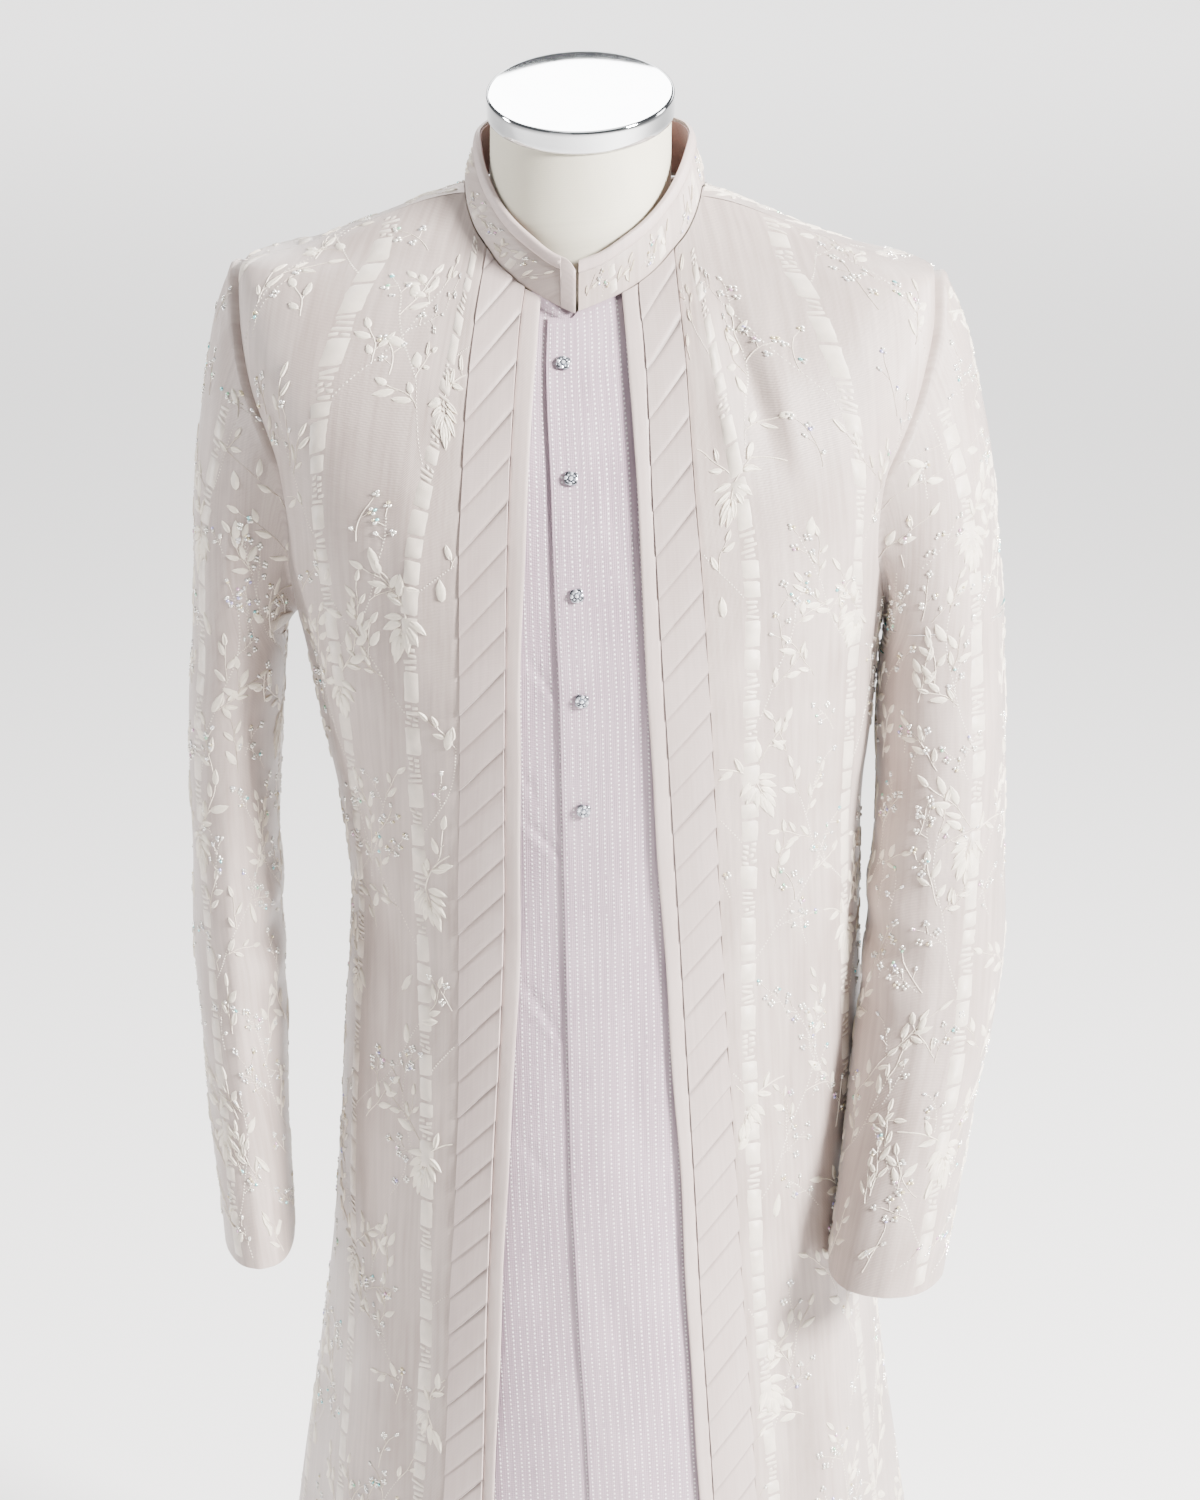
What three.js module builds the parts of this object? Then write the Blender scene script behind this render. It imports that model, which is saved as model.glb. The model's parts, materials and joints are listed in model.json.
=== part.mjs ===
// Knee-length sherwani coat on a limbless dress form with a pole stand.
// Millimetres, +Z up, front towards -Y. "left" and "right" are the wearer's:
// the wearer's left side is +X. Origin: centre of the base disc's underside.
import * as THREE from 'three';

// ---------------------------------------------------------------- driving sizes
const HEM_Z = 345;             // coat hem above the floor
const ARMPIT_Z = 1112;         // bottom of the armholes
const SHOULDER_Z = 1349;       // shoulder tips
const CLOTH = 1.6;             // wall of the lined outer cloth
const INNER_CLOTH = 1.2;       // wall of the inner front cloth
const SEAM = 0.2;              // half of the gap left between neighbouring pieces
const INNER_LEFT_DROP = 3.4;   // inner left front, below the coat's surface
const INNER_RIGHT_DROP = 5.6;  // inner right front, below that again
const INNER_RISE = 3.5, PLACKET_TOP = 1332;   // inner cloth above the neckline; height of the placket's level top edge
const TUCK_PITCH = 27;         // height from tuck to tuck
const TUCK_RISE = 1.15;        // rise of a tuck per mm across, to the wearer's left
const TUCK_LIFT = 1.5;         // lift of a tuck's folded edge
const COLLAR_BAND = 9.5;       // plain band along the collar's top
const BUTTON_R = 5.2;          // half width of a stud
const CAP_R = 61, CAP_H = 16, CAP_TILT = 16 * Math.PI / 180;
const CAP_C = [-2, 4, 1463.5]; // centre of the cap's top face
const POLE_R = 12.5, BASE_R = 150, BASE_H = 12, TORSO_BOTTOM = 655;

// coat sections: z, half width, x of centre, front depth, back depth, roundness front/back
const BODY = [
  { z: 345, a: 236, xc: 15, f: 186, b: 178, nf: 2.0, nb: 2.1 },
  { z: 450, a: 220.5, xc: 14.5, f: 174, b: 166, nf: 2.0, nb: 2.1 },
  { z: 530, a: 208.5, xc: 13.5, f: 165, b: 158, nf: 2.0, nb: 2.15 },
  { z: 640, a: 194.5, xc: 12.5, f: 155, b: 150, nf: 2.0, nb: 2.2 },
  { z: 750, a: 186, xc: 12, f: 146, b: 142, nf: 2.05, nb: 2.2 },
  { z: 840, a: 181, xc: 14, f: 136, b: 130, nf: 2.15, nb: 2.25 },
  { z: 915, a: 177.5, xc: 15, f: 130, b: 116, nf: 2.25, nb: 2.3 },
  { z: 980, a: 180, xc: 12, f: 134, b: 118, nf: 2.3, nb: 2.3 },
  { z: 1050, a: 188, xc: 8, f: 140, b: 126, nf: 2.4, nb: 2.35 },
  { z: 1100, a: 194, xc: 5, f: 143, b: 132, nf: 2.45, nb: 2.4 },
  { z: 1130, a: 199, xc: 4, f: 142, b: 134, nf: 2.5, nb: 2.5 },
  { z: 1180, a: 207, xc: 4, f: 137, b: 136, nf: 2.7, nb: 2.6 },
  { z: 1240, a: 219, xc: 4, f: 122, b: 134, nf: 3.0, nb: 2.8 },
  { z: 1290, a: 228, xc: 3, f: 99, b: 127, nf: 3.3, nb: 3.0 },
  { z: 1320, a: 230, xc: 3, f: 76, b: 117, nf: 3.4, nb: 3.0 },
  { z: 1340, a: 229, xc: 2, f: 58, b: 107, nf: 3.2, nb: 2.8 },
  { z: 1349, a: 228, xc: 2, f: 48, b: 100, nf: 3.0, nb: 2.6 },
  { z: 1360, a: 190, xc: 1, f: 36, b: 94, nf: 2.6, nb: 2.3 },
  { z: 1372, a: 158, xc: 0, f: 26, b: 88, nf: 2.5, nb: 2.1 },
  { z: 1385, a: 124, xc: 0, f: 16, b: 82, nf: 2.4, nb: 2.0 },
  { z: 1395, a: 100, xc: 0, f: 9, b: 77, nf: 2.3, nb: 2.0 },
  { z: 1402, a: 80, xc: 0, f: 3, b: 73, nf: 2.2, nb: 2.0 },
];

// long lines down the front: x of each at height z
const LINES = {
  tuckOuterRight: [[345, -96], [543, -87.2], [661, -83.3], [742, -78.6], [820, -76.5], [947, -75.3], [1038, -71.7], [1116, -70.1], [1188, -70], [1236, -68.4], [1273, -67.4], [1308, -65.8], [1344, -62.9], [1367, -60.3]],
  tuckInnerRight: [[345, -67], [548, -59.4], [641, -57], [760, -52.1], [836, -47.9], [952, -43.4], [1042, -41.6], [1104, -40], [1190, -38.8], [1236, -38], [1273, -36.9], [1298, -36.2], [1326, -35.4], [1349, -33.5]],
  openRight: [[345, -59], [548, -51.4], [641, -47.2], [760, -41.2], [862, -36.3], [952, -33.3], [1042, -31.2], [1120, -29.4], [1190, -27.4], [1224, -26.6], [1275, -25.2], [1321, -24.4], [1344, -24]],
  openLeft: [[345, 103], [551, 89.2], [645, 82.4], [751, 75.2], [839, 68], [956, 60.6], [1046, 54.8], [1121, 50.2], [1192, 45.4], [1238, 42.8], [1275, 39.4], [1310, 34.6], [1344, 29]],
  tuckInnerLeft: [[345, 113], [551, 98.4], [643, 91.4], [749, 84.7], [851, 77.7], [970, 70.2], [1060, 64.8], [1136, 59.9], [1192, 56], [1226, 53.3], [1275, 49.7], [1310, 46], [1346, 39.4]],
  tuckOuterLeft: [[345, 143], [544, 128.4], [611, 123.2], [693, 116.4], [772, 111], [860, 104.6], [952, 98.9], [1010, 96], [1074, 92.8], [1134, 88.9], [1192, 84.2], [1226, 80.4], [1270, 76], [1310, 71.4], [1333, 67.4], [1367, 60.9]],
  placket: [[345, 24], [555, 13], [647, 6.8], [700, 4], [751, 1.2], [851, -1.6], [903, -3], [982, -4.2], [1044, -4.7], [1090, -5.2], [1134, -7], [1190, -9.6], [1238, -12], [1287, -16], [1310, -17.6], [1345, -18.4]],
};

// armhole: |x - centre| at height z, front half and back half (y lies on the coat)
const ARM_FRONT = [[1112, 1], [1130, 0.993], [1150, 0.975], [1175, 0.945], [1203, 0.928], [1231, 0.917], [1245, 0.925], [1260, 0.94], [1275, 0.955], [1300, 0.973], [1319, 0.985], [1335, 0.994], [1349, 1]];
const ARM_BACK = [[1112, 1], [1130, 0.995], [1160, 0.965], [1200, 0.93], [1240, 0.925], [1280, 0.94], [1310, 0.962], [1335, 0.985], [1349, 1]];

// neckline on plan from centre front to centre back, and the collar's top edge
const NECK = [[0, -65], [15, -60], [31, -53], [46, -43], [60, -29.5], [70, -19], [77, -4], [79, 14], [74, 36], [61, 56], [35, 71], [0, 75]];
const COLLAR_TOP = [[0, -62, 1366], [15, -58, 1371], [30, -51, 1380], [43, -41, 1389], [54, -29, 1400], [62, -16, 1412], [67.5, -2, 1425], [70, 14, 1435], [66, 35, 1438], [54, 54, 1439], [31, 67, 1440], [0, 71, 1440]];

// creases: side, x at mid height, z of middle, half length, half width, lean (x per z), depth (+ out)
const FOLDS = [
  { x: -205, z: 1215, len: 70, w: 7, lean: -0.30, d: -3.0 },
  { x: -178, z: 1190, len: 95, w: 9, lean: -0.28, d: -2.6 },
  { x: -160, z: 1120, len: 110, w: 11, lean: -0.16, d: 2.0 },
  { x: 112, z: 1300, len: 75, w: 10, lean: -0.42, d: -3.0 },
  { x: 140, z: 1270, len: 90, w: 12, lean: -0.40, d: 2.2 },
  { x: 188, z: 1190, len: 90, w: 8, lean: 0.20, d: -3.0 },
  { x: 168, z: 1060, len: 150, w: 11, lean: 0.04, d: -2.4 },
  { x: -120, z: 900, len: 170, w: 14, lean: 0.06, d: -2.6 },
  { x: -150, z: 760, len: 200, w: 15, lean: 0.05, d: 3.0 },
  { x: -112, z: 560, len: 230, w: 15, lean: 0.05, d: -4.0 },
  { x: 150, z: 800, len: 220, w: 13, lean: -0.07, d: -4.0 },
  { x: 176, z: 640, len: 230, w: 14, lean: -0.06, d: 3.6 },
  { x: 160, z: 480, len: 190, w: 16, lean: -0.06, d: -5.0 },
];
const BACK_FOLDS = [
  { x: -150, z: 1200, len: 90, w: 10, lean: -0.25, d: -2.6 },
  { x: 148, z: 1185, len: 80, w: 10, lean: 0.28, d: -2.8 },
  { x: -30, z: 1340, len: 40, w: 16, lean: 0.1, d: 1.6 },
  { x: -92, z: 860, len: 160, w: 13, lean: -0.04, d: -3.2 },
  { x: 74, z: 880, len: 170, w: 15, lean: 0.03, d: -3.0 },
  { x: -120, z: 560, len: 240, w: 18, lean: -0.07, d: -6.0 },
  { x: -45, z: 520, len: 230, w: 17, lean: -0.02, d: 5.0 },
  { x: 38, z: 540, len: 240, w: 18, lean: 0.02, d: -5.5 },
  { x: 118, z: 580, len: 250, w: 19, lean: 0.06, d: 5.5 },
];

// sleeve sections below the armpit: z, centre x, centre y, half width, half depth, turn (deg)
const SLEEVE_RIGHT = [
  { z: 1090, x: -236.5, y: 2, rx: 31, ry: 74, turn: 3 },
  { z: 1041, x: -241.6, y: 2, rx: 30.5, ry: 72, turn: 4 },
  { z: 975, x: -243.6, y: 0, rx: 31.5, ry: 69, turn: 5 },
  { z: 906, x: -244.6, y: -4, rx: 31.5, ry: 66, turn: 6 },
  { z: 840, x: -243, y: -12, rx: 30.5, ry: 61, turn: 7 },
  { z: 760, x: -240, y: -25, rx: 28.5, ry: 55, turn: 8 },
  { z: 700, x: -235, y: -37, rx: 26.5, ry: 51, turn: 9 },
  { z: 650, x: -230, y: -48, rx: 25, ry: 48, turn: 9 },
];
const SLEEVE_LEFT = [
  { z: 1090, x: 243, y: 0, rx: 41, ry: 68, turn: -4 },
  { z: 1041, x: 244.5, y: -2, rx: 43, ry: 64, turn: -5 },
  { z: 975, x: 245.5, y: -7, rx: 46, ry: 61, turn: -6 },
  { z: 906, x: 245, y: -18, rx: 47.5, ry: 58, turn: -6 },
  { z: 840, x: 240.5, y: -38, rx: 46.5, ry: 54, turn: -5 },
  { z: 770, x: 231, y: -64, rx: 43.5, ry: 50, turn: -4 },
  { z: 715, x: 223, y: -86, rx: 41.5, ry: 46, turn: -3 },
  { z: 672, x: 216.5, y: -102, rx: 40, ry: 43, turn: -2 },
];

// studs down the placket: x, z
const STUDS = [[-6.4, 1307], [1, 1240], [5.8, 1167], [9.2, 1097], [9.8, 1019]];

// dress form neck: z, half width, y of centre, half depth
const NECK_FORM = [
  { z: 1300, w: 30, y: 0, d: 20 }, { z: 1325, w: 56, y: -1, d: 45 }, { z: 1345, w: 60.5, y: -1, d: 50 },
  { z: 1366, w: 60, y: 0, d: 51.5 }, { z: 1385, w: 59.5, y: 1, d: 52.5 }, { z: 1400, w: 59.2, y: 2.5, d: 53 },
  { z: 1418, w: 59, y: 4.5, d: 53.5 }, { z: 1435, w: 58.8, y: 6.5, d: 54.5 }, { z: 1470, w: 58.5, y: 9, d: 56 },
];

// ---------------------------------------------------------------- small maths
const V = (x, y, z) => new THREE.Vector3(x, y, z);
const lerp = (a, b, t) => a + (b - a) * t;
const clamp = (v, a, b) => Math.min(b, Math.max(a, v));
const smooth = (t) => { const c = clamp(t, 0, 1); return c * c * (3 - 2 * c); };

// monotone cubic through (x, y) columns
function curve(xs, ys) {
  const n = xs.length, h = [], d = [], m = new Array(n).fill(0);
  for (let i = 0; i < n - 1; i++) { h.push(xs[i + 1] - xs[i]); d.push((ys[i + 1] - ys[i]) / h[i]); }
  m[0] = d[0]; m[n - 1] = d[n - 2];
  for (let i = 1; i < n - 1; i++) {
    if (d[i - 1] * d[i] > 0) {
      const w1 = 2 * h[i] + h[i - 1], w2 = h[i] + 2 * h[i - 1];
      m[i] = (w1 + w2) / (w1 / d[i - 1] + w2 / d[i]);
    }
  }
  return (q) => {
    const x = clamp(q, xs[0], xs[n - 1]);
    let k = 0; while (k < n - 2 && x > xs[k + 1]) k++;
    const t = (x - xs[k]) / h[k];
    return (1 + 2 * t) * (1 - t) ** 2 * ys[k] + t * (1 - t) ** 2 * h[k] * m[k]
      + t * t * (3 - 2 * t) * ys[k + 1] + t * t * (t - 1) * h[k] * m[k + 1];
  };
}
const table = (rows, key, by = 'z') => curve(rows.map(r => r[by]), rows.map(r => r[key]));
const pairs = (rows) => curve(rows.map(r => r[0]), rows.map(r => r[1]));
const B = { a: table(BODY, 'a'), xc: table(BODY, 'xc'), f: table(BODY, 'f'), b: table(BODY, 'b'), nf: table(BODY, 'nf'), nb: table(BODY, 'nb') };
const LINE = Object.fromEntries(Object.entries(LINES).map(([k, rows]) => [k, pairs(rows)]));
const TOP_Z = 1402;

// coat surface as a level set: below 1 inside, above 1 outside
function level(x, y, z) {
  const over = Math.max(0, z - TOP_Z);
  const a = Math.max(2, B.a(z) - over * 5), f = Math.max(0.5, B.f(z) - over * 0.3), b = Math.max(1, B.b(z) - over * 6);
  const dx = Math.abs(x - B.xc(z)) / a;
  return y < 0 ? dx ** B.nf(z) + (-y / f) ** B.nf(z) : dx ** B.nb(z) + (y / b) ** B.nb(z);
}
const frontY = (x, z) => -B.f(z) * Math.max(0, 1 - (Math.abs(x - B.xc(z)) / B.a(z)) ** B.nf(z)) ** (1 / B.nf(z));
const backY = (x, z) => B.b(z) * Math.max(0, 1 - (Math.abs(x - B.xc(z)) / B.a(z)) ** B.nb(z)) ** (1 / B.nb(z));
function heightAt(x, y) {
  let lo = 1150, hi = 1440;
  for (let i = 0; i < 44; i++) { const m = (lo + hi) / 2; if (level(x, y, m) < 1) lo = m; else hi = m; }
  return (lo + hi) / 2;
}
function normalAt(p) {
  const e = 0.5, g = (q) => level(q.x, q.y, q.z);
  const n = V(g(V(p.x + e, p.y, p.z)) - g(V(p.x - e, p.y, p.z)), g(V(p.x, p.y + e, p.z)) - g(V(p.x, p.y - e, p.z)), g(V(p.x, p.y, p.z + e)) - g(V(p.x, p.y, p.z - e)));
  if (n.lengthSq() < 1e-18) n.set(p.x, p.y, 0);
  return n.normalize();
}
// push a point along its ray from the body's axis on to the coat surface
const ANCHOR_Z = 1150;
function onto(q) {
  const A = V(B.xc(q.z), 0, Math.min(q.z, ANCHOR_Z)), d = q.clone().sub(A);
  let lo = 0.2, hi = 3;
  for (let i = 0; i < 44; i++) { const m = (lo + hi) / 2, p = A.clone().addScaledVector(d, m); if (level(p.x, p.y, p.z) < 1) lo = m; else hi = m; }
  return A.addScaledVector(d, (lo + hi) / 2);
}
// creases and the skirt's flutes, as a movement along the normal
function drape(p) {
  let d = 0;
  for (const f of (p.y < 0 ? FOLDS : BACK_FOLDS)) {
    const k = (p.z - f.z) / f.len;
    if (Math.abs(k) >= 1) continue;
    const s = (p.x - f.x - f.lean * (p.z - f.z)) / f.w;
    d += f.d * Math.exp(-s * s) * Math.cos(k * Math.PI / 2) ** 2;
  }
  const ang = Math.atan2(p.x - B.xc(p.z), -p.y), low = smooth((820 - p.z) / 430);
  const away = smooth((Math.abs(ang) - 0.55) / 0.5);
  return d + low * away * (3.4 * Math.sin(7 * ang + 0.6) + 2.2 * Math.sin(12 * ang + 2.1));
}
function skin(p, lift = 0) { return p.clone().addScaledVector(normalAt(p), drape(p) + lift); }

// ---------------------------------------------------------------- solids from grids
function solidOf(points, faces) {
  let vol = 0;
  for (const [i, j, k] of faces) vol += points[i].dot(points[j].clone().cross(points[k])) / 6;
  const pos = [];
  for (const f of faces) for (const i of (vol < 0 ? [f[0], f[2], f[1]] : f)) pos.push(points[i].x, points[i].y, points[i].z);
  const g = new THREE.BufferGeometry();
  g.setAttribute('position', new THREE.Float32BufferAttribute(pos, 3));
  g.computeVertexNormals();
  return g;
}
// a wall from two matching grids (outer face, inner face); round closes the rows
function wall(outer, inner, round = false) {
  const R = outer.length, C = outer[0].length, pts = [...outer.flat(), ...inner.flat()], N = R * C, F = [];
  const id = (r, c) => r * C + (c % C);
  const quad = (a, b, c, d) => { F.push([a, b, c], [a, c, d]); };
  for (let r = 0; r < R - 1; r++) for (let c = 0; c < (round ? C : C - 1); c++) {
    quad(id(r, c), id(r, c + 1), id(r + 1, c + 1), id(r + 1, c));
    quad(N + id(r, c), N + id(r + 1, c), N + id(r + 1, c + 1), N + id(r, c + 1));
  }
  for (let c = 0; c < (round ? C : C - 1); c++) {
    quad(id(0, c + 1), id(0, c), N + id(0, c), N + id(0, c + 1));
    quad(id(R - 1, c), id(R - 1, c + 1), N + id(R - 1, c + 1), N + id(R - 1, c));
  }
  if (!round) for (let r = 0; r < R - 1; r++) {
    quad(id(r, 0), id(r + 1, 0), N + id(r + 1, 0), N + id(r, 0));
    quad(id(r + 1, C - 1), id(r, C - 1), N + id(r, C - 1), N + id(r + 1, C - 1));
  }
  const keep = F.filter(([a, b, c]) => pts[a].distanceTo(pts[b]) > 2e-3 && pts[b].distanceTo(pts[c]) > 2e-3 && pts[c].distanceTo(pts[a]) > 2e-3);
  return solidOf(pts, keep);
}
// a solid from stacked rings, closed top and bottom with a centre point
function loft(rings) {
  const R = rings.length, C = rings[0].length, pts = rings.flat(), F = [];
  for (let r = 0; r < R - 1; r++) for (let c = 0; c < C; c++) {
    const a = r * C + c, b = r * C + (c + 1) % C;
    F.push([a, b, b + C], [a, b + C, a + C]);
  }
  for (const [r, flip] of [[0, true], [R - 1, false]]) {
    const m = rings[r].reduce((s, p) => s.add(p), V(0, 0, 0)).divideScalar(C), k = pts.push(m) - 1;
    for (let c = 0; c < C; c++) { const a = r * C + c, b = r * C + (c + 1) % C; F.push(flip ? [b, a, k] : [a, b, k]); }
  }
  return solidOf(pts, F);
}
function resample(line, count) {
  const at = [0]; for (let i = 1; i < line.length; i++) at.push(at[i - 1] + line[i].distanceTo(line[i - 1]));
  const out = [];
  for (let k = 0; k <= count; k++) {
    const s = at[at.length - 1] * k / count; let i = 0; while (i < at.length - 2 && s > at[i + 1]) i++;
    out.push(line[i].clone().lerp(line[i + 1], clamp((s - at[i]) / Math.max(1e-9, at[i + 1] - at[i]), 0, 1)));
  }
  return out;
}
// part of a section at height z, from x0 on the front (or back) round to the side
function arc(z, x0, side, face, count) {
  const a = B.a(z), xc = B.xc(z), n = face < 0 ? B.nf(z) : B.nb(z), dep = face < 0 ? B.f(z) : B.b(z), line = [];
  const t0 = Math.asin(clamp(side * (x0 - xc) / a, -1, 1) < 0 ? -(Math.abs((x0 - xc) / a) ** (n / 2)) : Math.abs((x0 - xc) / a) ** (n / 2));
  for (let i = 0; i <= 160; i++) {
    const t = lerp(t0, Math.PI / 2, i / 160), s = Math.sin(t), c = Math.cos(t);
    line.push(V(xc + side * a * Math.sign(s) * Math.abs(s) ** (2 / n), face * (dep * Math.abs(c) ** (2 / n) + (i === 160 ? SEAM : 0)), z));
  }
  return resample(line, count);
}
function armLine(side, face) {
  const rows = pairs(face < 0 ? ARM_FRONT : ARM_BACK), line = [];
  for (let i = 0; i <= 60; i++) {
    const z = lerp(ARMPIT_Z, SHOULDER_Z, i / 60), x = B.xc(z) + side * B.a(z) * rows(z);
    const y = face < 0 ? frontY(x, z) : backY(x, z);
    line.push(V(x, face < 0 ? Math.min(y, -SEAM) : Math.max(y, SEAM), z));
  }
  return line;
}
const NK = NECK.map((_, i) => i), neckX = curve(NK, NECK.map(r => r[0])), neckY = curve(NK, NECK.map(r => r[1]));
function neckPoint(k, side, shift = 0) { const x = side * neckX(k), y = neckY(k) + shift; return V(x, y, heightAt(x, y)); }
const NECK_SIDE = 6;                              // row of NECK at the shoulder seam
function neckRowAt(x) { let lo = 0, hi = NECK_SIDE; for (let i = 0; i < 40; i++) { const m = (lo + hi) / 2; if (neckX(m) < Math.abs(x)) lo = m; else hi = m; } return (lo + hi) / 2; }
const neckTopAt = (x) => { const k = neckRowAt(x); return heightAt(x, neckY(k)); };
function shoulderLine(side, face, count) {
  const a = neckPoint(NECK_SIDE, side), tip = armLine(side, face).at(-1), line = [];
  for (let i = 0; i <= 40; i++) {
    const t = i / 40, x = lerp(a.x, tip.x, t), y = lerp(a.y, -2, t) + face * SEAM;
    line.push(i === 40 ? tip : V(x, y, heightAt(x, y)));
  }
  return resample(line, count);
}
// four-sided patch between boundary lines, pulled on to the coat surface
function patch(bottom, top, left, right) {
  const C = bottom.length - 1, R = left.length - 1, rows = [];
  for (let r = 0; r <= R; r++) {
    const v = r / R, row = [];
    for (let c = 0; c <= C; c++) {
      const u = c / C;
      if (r === 0) { row.push(bottom[c]); continue; }
      if (r === R) { row.push(top[c]); continue; }
      if (c === 0) { row.push(left[r]); continue; }
      if (c === C) { row.push(right[r]); continue; }
      const p = V(0, 0, 0).addScaledVector(left[r], 1 - u).addScaledVector(right[r], u).addScaledVector(bottom[c], 1 - v).addScaledVector(top[c], v)
        .addScaledVector(bottom[0], -(1 - u) * (1 - v)).addScaledVector(bottom[C], -u * (1 - v)).addScaledVector(top[0], -(1 - u) * v).addScaledVector(top[C], -u * v);
      row.push(onto(p));
    }
    rows.push(row);
  }
  return rows;
}
function sheet(rows, thick, lift = 0) {
  const outer = rows.map(r => r.map(p => skin(p, lift))), inner = rows.map(r => r.map(p => skin(p, lift - thick)));
  return wall(outer, inner);
}

// ---------------------------------------------------------------- coat panels
function frontPanel(side) {
  const line = side < 0 ? LINE.tuckOuterRight : LINE.tuckOuterLeft, x0 = (z) => line(z) + side * SEAM * 1.2;
  const cols = 10, low = 14, up = 8, nk = 3, rows = [];
  for (let r = 0; r < low; r++) { const z = lerp(HEM_Z, ARMPIT_Z, r / low); rows.push(arc(z, x0(z), side, -1, cols)); }
  const bottom = arc(ARMPIT_Z, x0(ARMPIT_Z), side, -1, cols);
  const k0 = neckRowAt(x0(1366)), k1 = NECK_SIDE, neck = [];
  for (let i = 0; i <= nk; i++) neck.push(neckPoint(lerp(k0, k1, i / nk), side, i === nk ? -SEAM : 0));
  const top = [...neck, ...shoulderLine(side, -1, cols - nk).slice(1)], left = [];
  for (let r = 0; r <= up; r++) { const z = lerp(ARMPIT_Z, top[0].z, r / up), x = x0(z); left.push(V(x, frontY(x, z), z)); }
  left[up] = top[0];
  rows.push(...patch(bottom, top, left, resample(armLine(side, -1), up)));
  return sheet(rows, CLOTH);
}
function backPanel() {
  const half = 9, low = 14, up = 8, nk = 3, rows = [], whole = (fn) => [...fn(-1).slice().reverse(), ...fn(1).slice(1)];
  for (let r = 0; r < low; r++) { const z = lerp(HEM_Z, ARMPIT_Z, r / low); rows.push(whole((s) => arc(z, B.xc(z), s, 1, half))); }
  const bottom = whole((s) => arc(ARMPIT_Z, B.xc(ARMPIT_Z), s, 1, half));
  const edge = (s) => { const n = []; for (let i = 0; i <= nk; i++) n.push(neckPoint(lerp(NECK.length - 1, NECK_SIDE, i / nk), s, i === nk ? SEAM : 0)); return [...n, ...shoulderLine(s, 1, half - nk).slice(1)]; };
  const top = whole(edge);
  rows.push(...patch(bottom, top, resample(armLine(-1, 1), up), resample(armLine(1, 1), up)));
  return sheet(rows, CLOTH);
}
// long strip between two front lines; z rows are given at the strip's middle
function stripPoint(xa, xb, u, z, rise = () => 0) {
  let zz = z, x = lerp(xa(zz), xb(zz), u);
  for (let i = 0; i < 12; i++) { x = lerp(xa(zz), xb(zz), u); zz = Math.min(z, neckTopAt(x) + rise(x)); }
  return V(x, frontY(x, zz), zz);
}
function tuckBand(side) {
  const inner = side < 0 ? LINE.tuckInnerRight : LINE.tuckInnerLeft, outer = side < 0 ? LINE.tuckOuterRight : LINE.tuckOuterLeft;
  const xa = side < 0 ? (z) => outer(z) + SEAM : (z) => inner(z) + SEAM, xb = side < 0 ? (z) => inner(z) - SEAM : (z) => outer(z) - SEAM;
  const mid = (z) => (xa(z) + xb(z)) / 2, phase = (x, z) => (z - TUCK_RISE * (x - mid(z)) - HEM_Z) / TUCK_PITCH;
  const saw = (x, z) => TUCK_LIFT * (1 - (phase(x, z) - Math.floor(phase(x, z)))), cols = 2;
  const rowAt = (z0, lift) => {
    const row = [];
    for (let c = 0; c <= cols; c++) {
      const want = z0 + TUCK_RISE * (lerp(xa(clamp(z0, HEM_Z, 1366)), xb(clamp(z0, HEM_Z, 1366)), c / cols) - mid(clamp(z0, HEM_Z, 1366)));
      const z = Math.max(HEM_Z, want), p = stripPoint(xa, xb, c / cols, z), clamped = want < HEM_Z || p.z < z - 0.01;
      row.push([p, clamped ? saw(p.x, p.z) : lift]);
    }
    return row;
  };
  const rows = [];
  for (let k = -1; k <= Math.ceil((1367 - HEM_Z) / TUCK_PITCH) + 1; k++) {
    const z0 = HEM_Z + k * TUCK_PITCH;
    rows.push(rowAt(z0 + 0.2, TUCK_LIFT), rowAt(z0 + TUCK_PITCH - 1.6, 0.12));
  }
  const face = (down) => rows.map(r => r.map(([p, lift]) => skin(p, down ? -CLOTH : lift)));
  return wall(face(false), face(true));
}
// how far the inner cloth's top stands above the neckline: it goes up behind the collar's ends
const innerRise = (x) => lerp(INNER_RISE, -5, smooth((Math.abs(x) - 28) / 12));
const placketRise = (x) => Math.min(innerRise(x), PLACKET_TOP + 30 * smooth((x + 2) / 12) - neckTopAt(x));
function strip(xa, xb, thick, lift, cols, count, zLow, rise = () => 0) {
  const rows = [];
  for (let r = 0; r <= count; r++) {
    const row = [];
    for (let c = 0; c <= cols; c++) { const top = stripPoint(xa, xb, c / cols, 1440, rise).z, z = lerp(zLow, top, r / count); row.push(stripPoint(xa, xb, c / cols, z, rise)); }
    rows.push(row);
  }
  return sheet(rows, thick, lift);
}

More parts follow.
